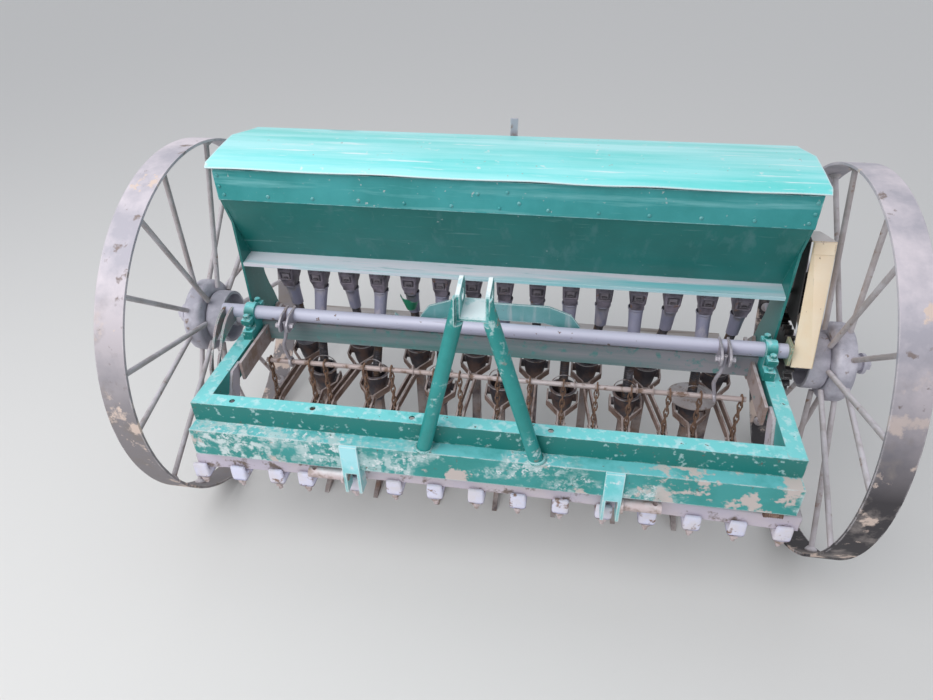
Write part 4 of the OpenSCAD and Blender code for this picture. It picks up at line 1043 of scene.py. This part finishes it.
hoops = spread(hoop, [Matrix.Translation(cup + Vector((0, 0, 0.0335))) @ turned((row * 37) % 50 - 25, "Z")
                      for row, cup in enumerate(cup_at)])
settle(hoops, "cup_wire_hoops", "coulter_gang", wire_pale)
# A pale dished plate lies loose on one cup, round its tube
bpy.ops.mesh.primitive_cylinder_add(vertices=40, radius=0.066, depth=0.0024)
dish = bpy.context.object
edit()
pick(lambda at, facing: abs(facing.z) > 0.9)
bpy.ops.mesh.inset(thickness=0.006)
bpy.ops.transform.translate(value=(0, 0, 0.003))
bpy.ops.mesh.inset(thickness=0.044)
bpy.ops.transform.translate(value=(0, 0, 0.004))
bpy.ops.mesh.delete(type="FACE")
bpy.ops.mesh.select_mode(type="EDGE")
bpy.ops.mesh.select_all(action="DESELECT")
bpy.ops.mesh.select_non_manifold()
bpy.ops.mesh.bridge_edge_loops()
face_out()
done()
dish.matrix_world = Matrix.Translation(cup_at[13] + Vector((0, 0.003, 0.0385))) @ turned(-4, "X")
dish_pale = finish("pale_dish_enamel", (0.38, 0.34, 0.34), 0.6, layers=(
    ("patch", (0.50, 0.47, 0.48), 0.6, 14, 0.42, 0.60, 0),
    ("patch", (0.24, 0.17, 0.14), 0.8, 30, 0.54, 0.64, 0.05),
    ("edge", (0.34, 0.24, 0.20), 0.7, 30, 0.42, 0.56, 0)))
settle(dish, "loose_dished_plate", "coulter_gang", dish_pale)
shoe_rust = finish("shoe_iron", (0.12, 0.095, 0.10), 0.6, 0.2, layers=(
    ("patch", (0.24, 0.15, 0.11), 0.8, 16, 0.44, 0.62, 0.15),
    ("low", (0.42, 0.37, 0.36), 0.5, 14, 0.40, 0.60, 0),
))
dress(shoe_rust, "boots")

# Wheels
# Flat iron bands on round spokes; the band is grey primer rubbed thin, its lower half darker, grey on the left wheel
# and near black on the right, with mud baked on it as well.
for side, shade in (("left", (0.24, 0.22, 0.23)), ("right", (0.050, 0.045, 0.050))):
    rim_iron = finish(side + "_rim_iron", (0.42, 0.40, 0.45), 0.6, 0.05, layers=(
        ("patch", (0.66, 0.60, 0.64), 0.65, 6, 0.40, 0.60, 0),
        ("patch", (0.26, 0.21, 0.20), 0.8, 26, 0.62, 0.68, -0.1),
        # the lower half of the band is darkened, grey on the left wheel and near black on the right
        ("lower", shade, 0.8, 5, 0.10, 0.34, 0.2),
        ("lower", (0.24, 0.21, 0.20), 0.85, 14, 0.50, 0.64, 0.3),
        ("lower", (0.66, 0.53, 0.46), 0.85, 8, 0.57, 0.61, 0.4),
        ("patch", (0.68, 0.55, 0.48), 0.85, 10, 0.62, 0.65, 0.4),
        ("edge", (0.62, 0.58, 0.60), 0.5, 20, 0.44, 0.58, 0),
    ))
    dress(rim_iron, "wheel_" + side + "_rim")
spoke_iron = finish("spoke_iron", (0.42, 0.37, 0.37), 0.6, 0.05, layers=(
    ("patch", (0.56, 0.52, 0.54), 0.6, 12, 0.44, 0.62, 0),
    ("patch", (0.28, 0.19, 0.15), 0.85, 34, 0.60, 0.68, 0.08),
    ("top", (0.66, 0.62, 0.66), 0.6, 18, 0.36, 0.56, 0),
))
dress(spoke_iron, "wheel_left_spokes", "wheel_right_spokes")

# Each spoke ends in a forged foot against the band
bpy.ops.mesh.primitive_cylinder_add(vertices=16, radius=0.015, depth=0.004, location=(0, 0, 0.002))
foot = bpy.context.object
edit()
pick(lambda at, facing: facing.z > 0.9)
draw(((0, 0, 0.003), (0.82, 0.82, 1)), ((0, 0, 0.004), (0.72, 0.72, 1)))
done()
bpy.ops.object.transform_apply(location=True, rotation=True, scale=True)
spokes, band_inside, spoke_x = 16, 0.5035, (0.863, 0.839)
for side, body in ((1, "wheel_right"), (-1, "wheel_left")):
    places = []
    for spoke in range(spokes):
        turn = math.radians(360 / spokes * (spoke + 0.3))
        outward = Vector((0, math.cos(turn), math.sin(turn)))
        tip = outward * band_inside + Vector((side * spoke_x[spoke % 2], 0, axle_z))
        places.append(Matrix.Translation(tip) @ (-outward).to_track_quat("Z", "X").to_matrix().to_4x4())
    twin = foot.copy()
    twin.data = foot.data.copy()
    bpy.context.collection.objects.link(twin)
    settle(spread(twin, places), body + "_spoke_feet", body, spoke_iron)
bpy.data.objects.remove(foot)

size = {"cad": cad_box, "visual": [list(corner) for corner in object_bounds()]}
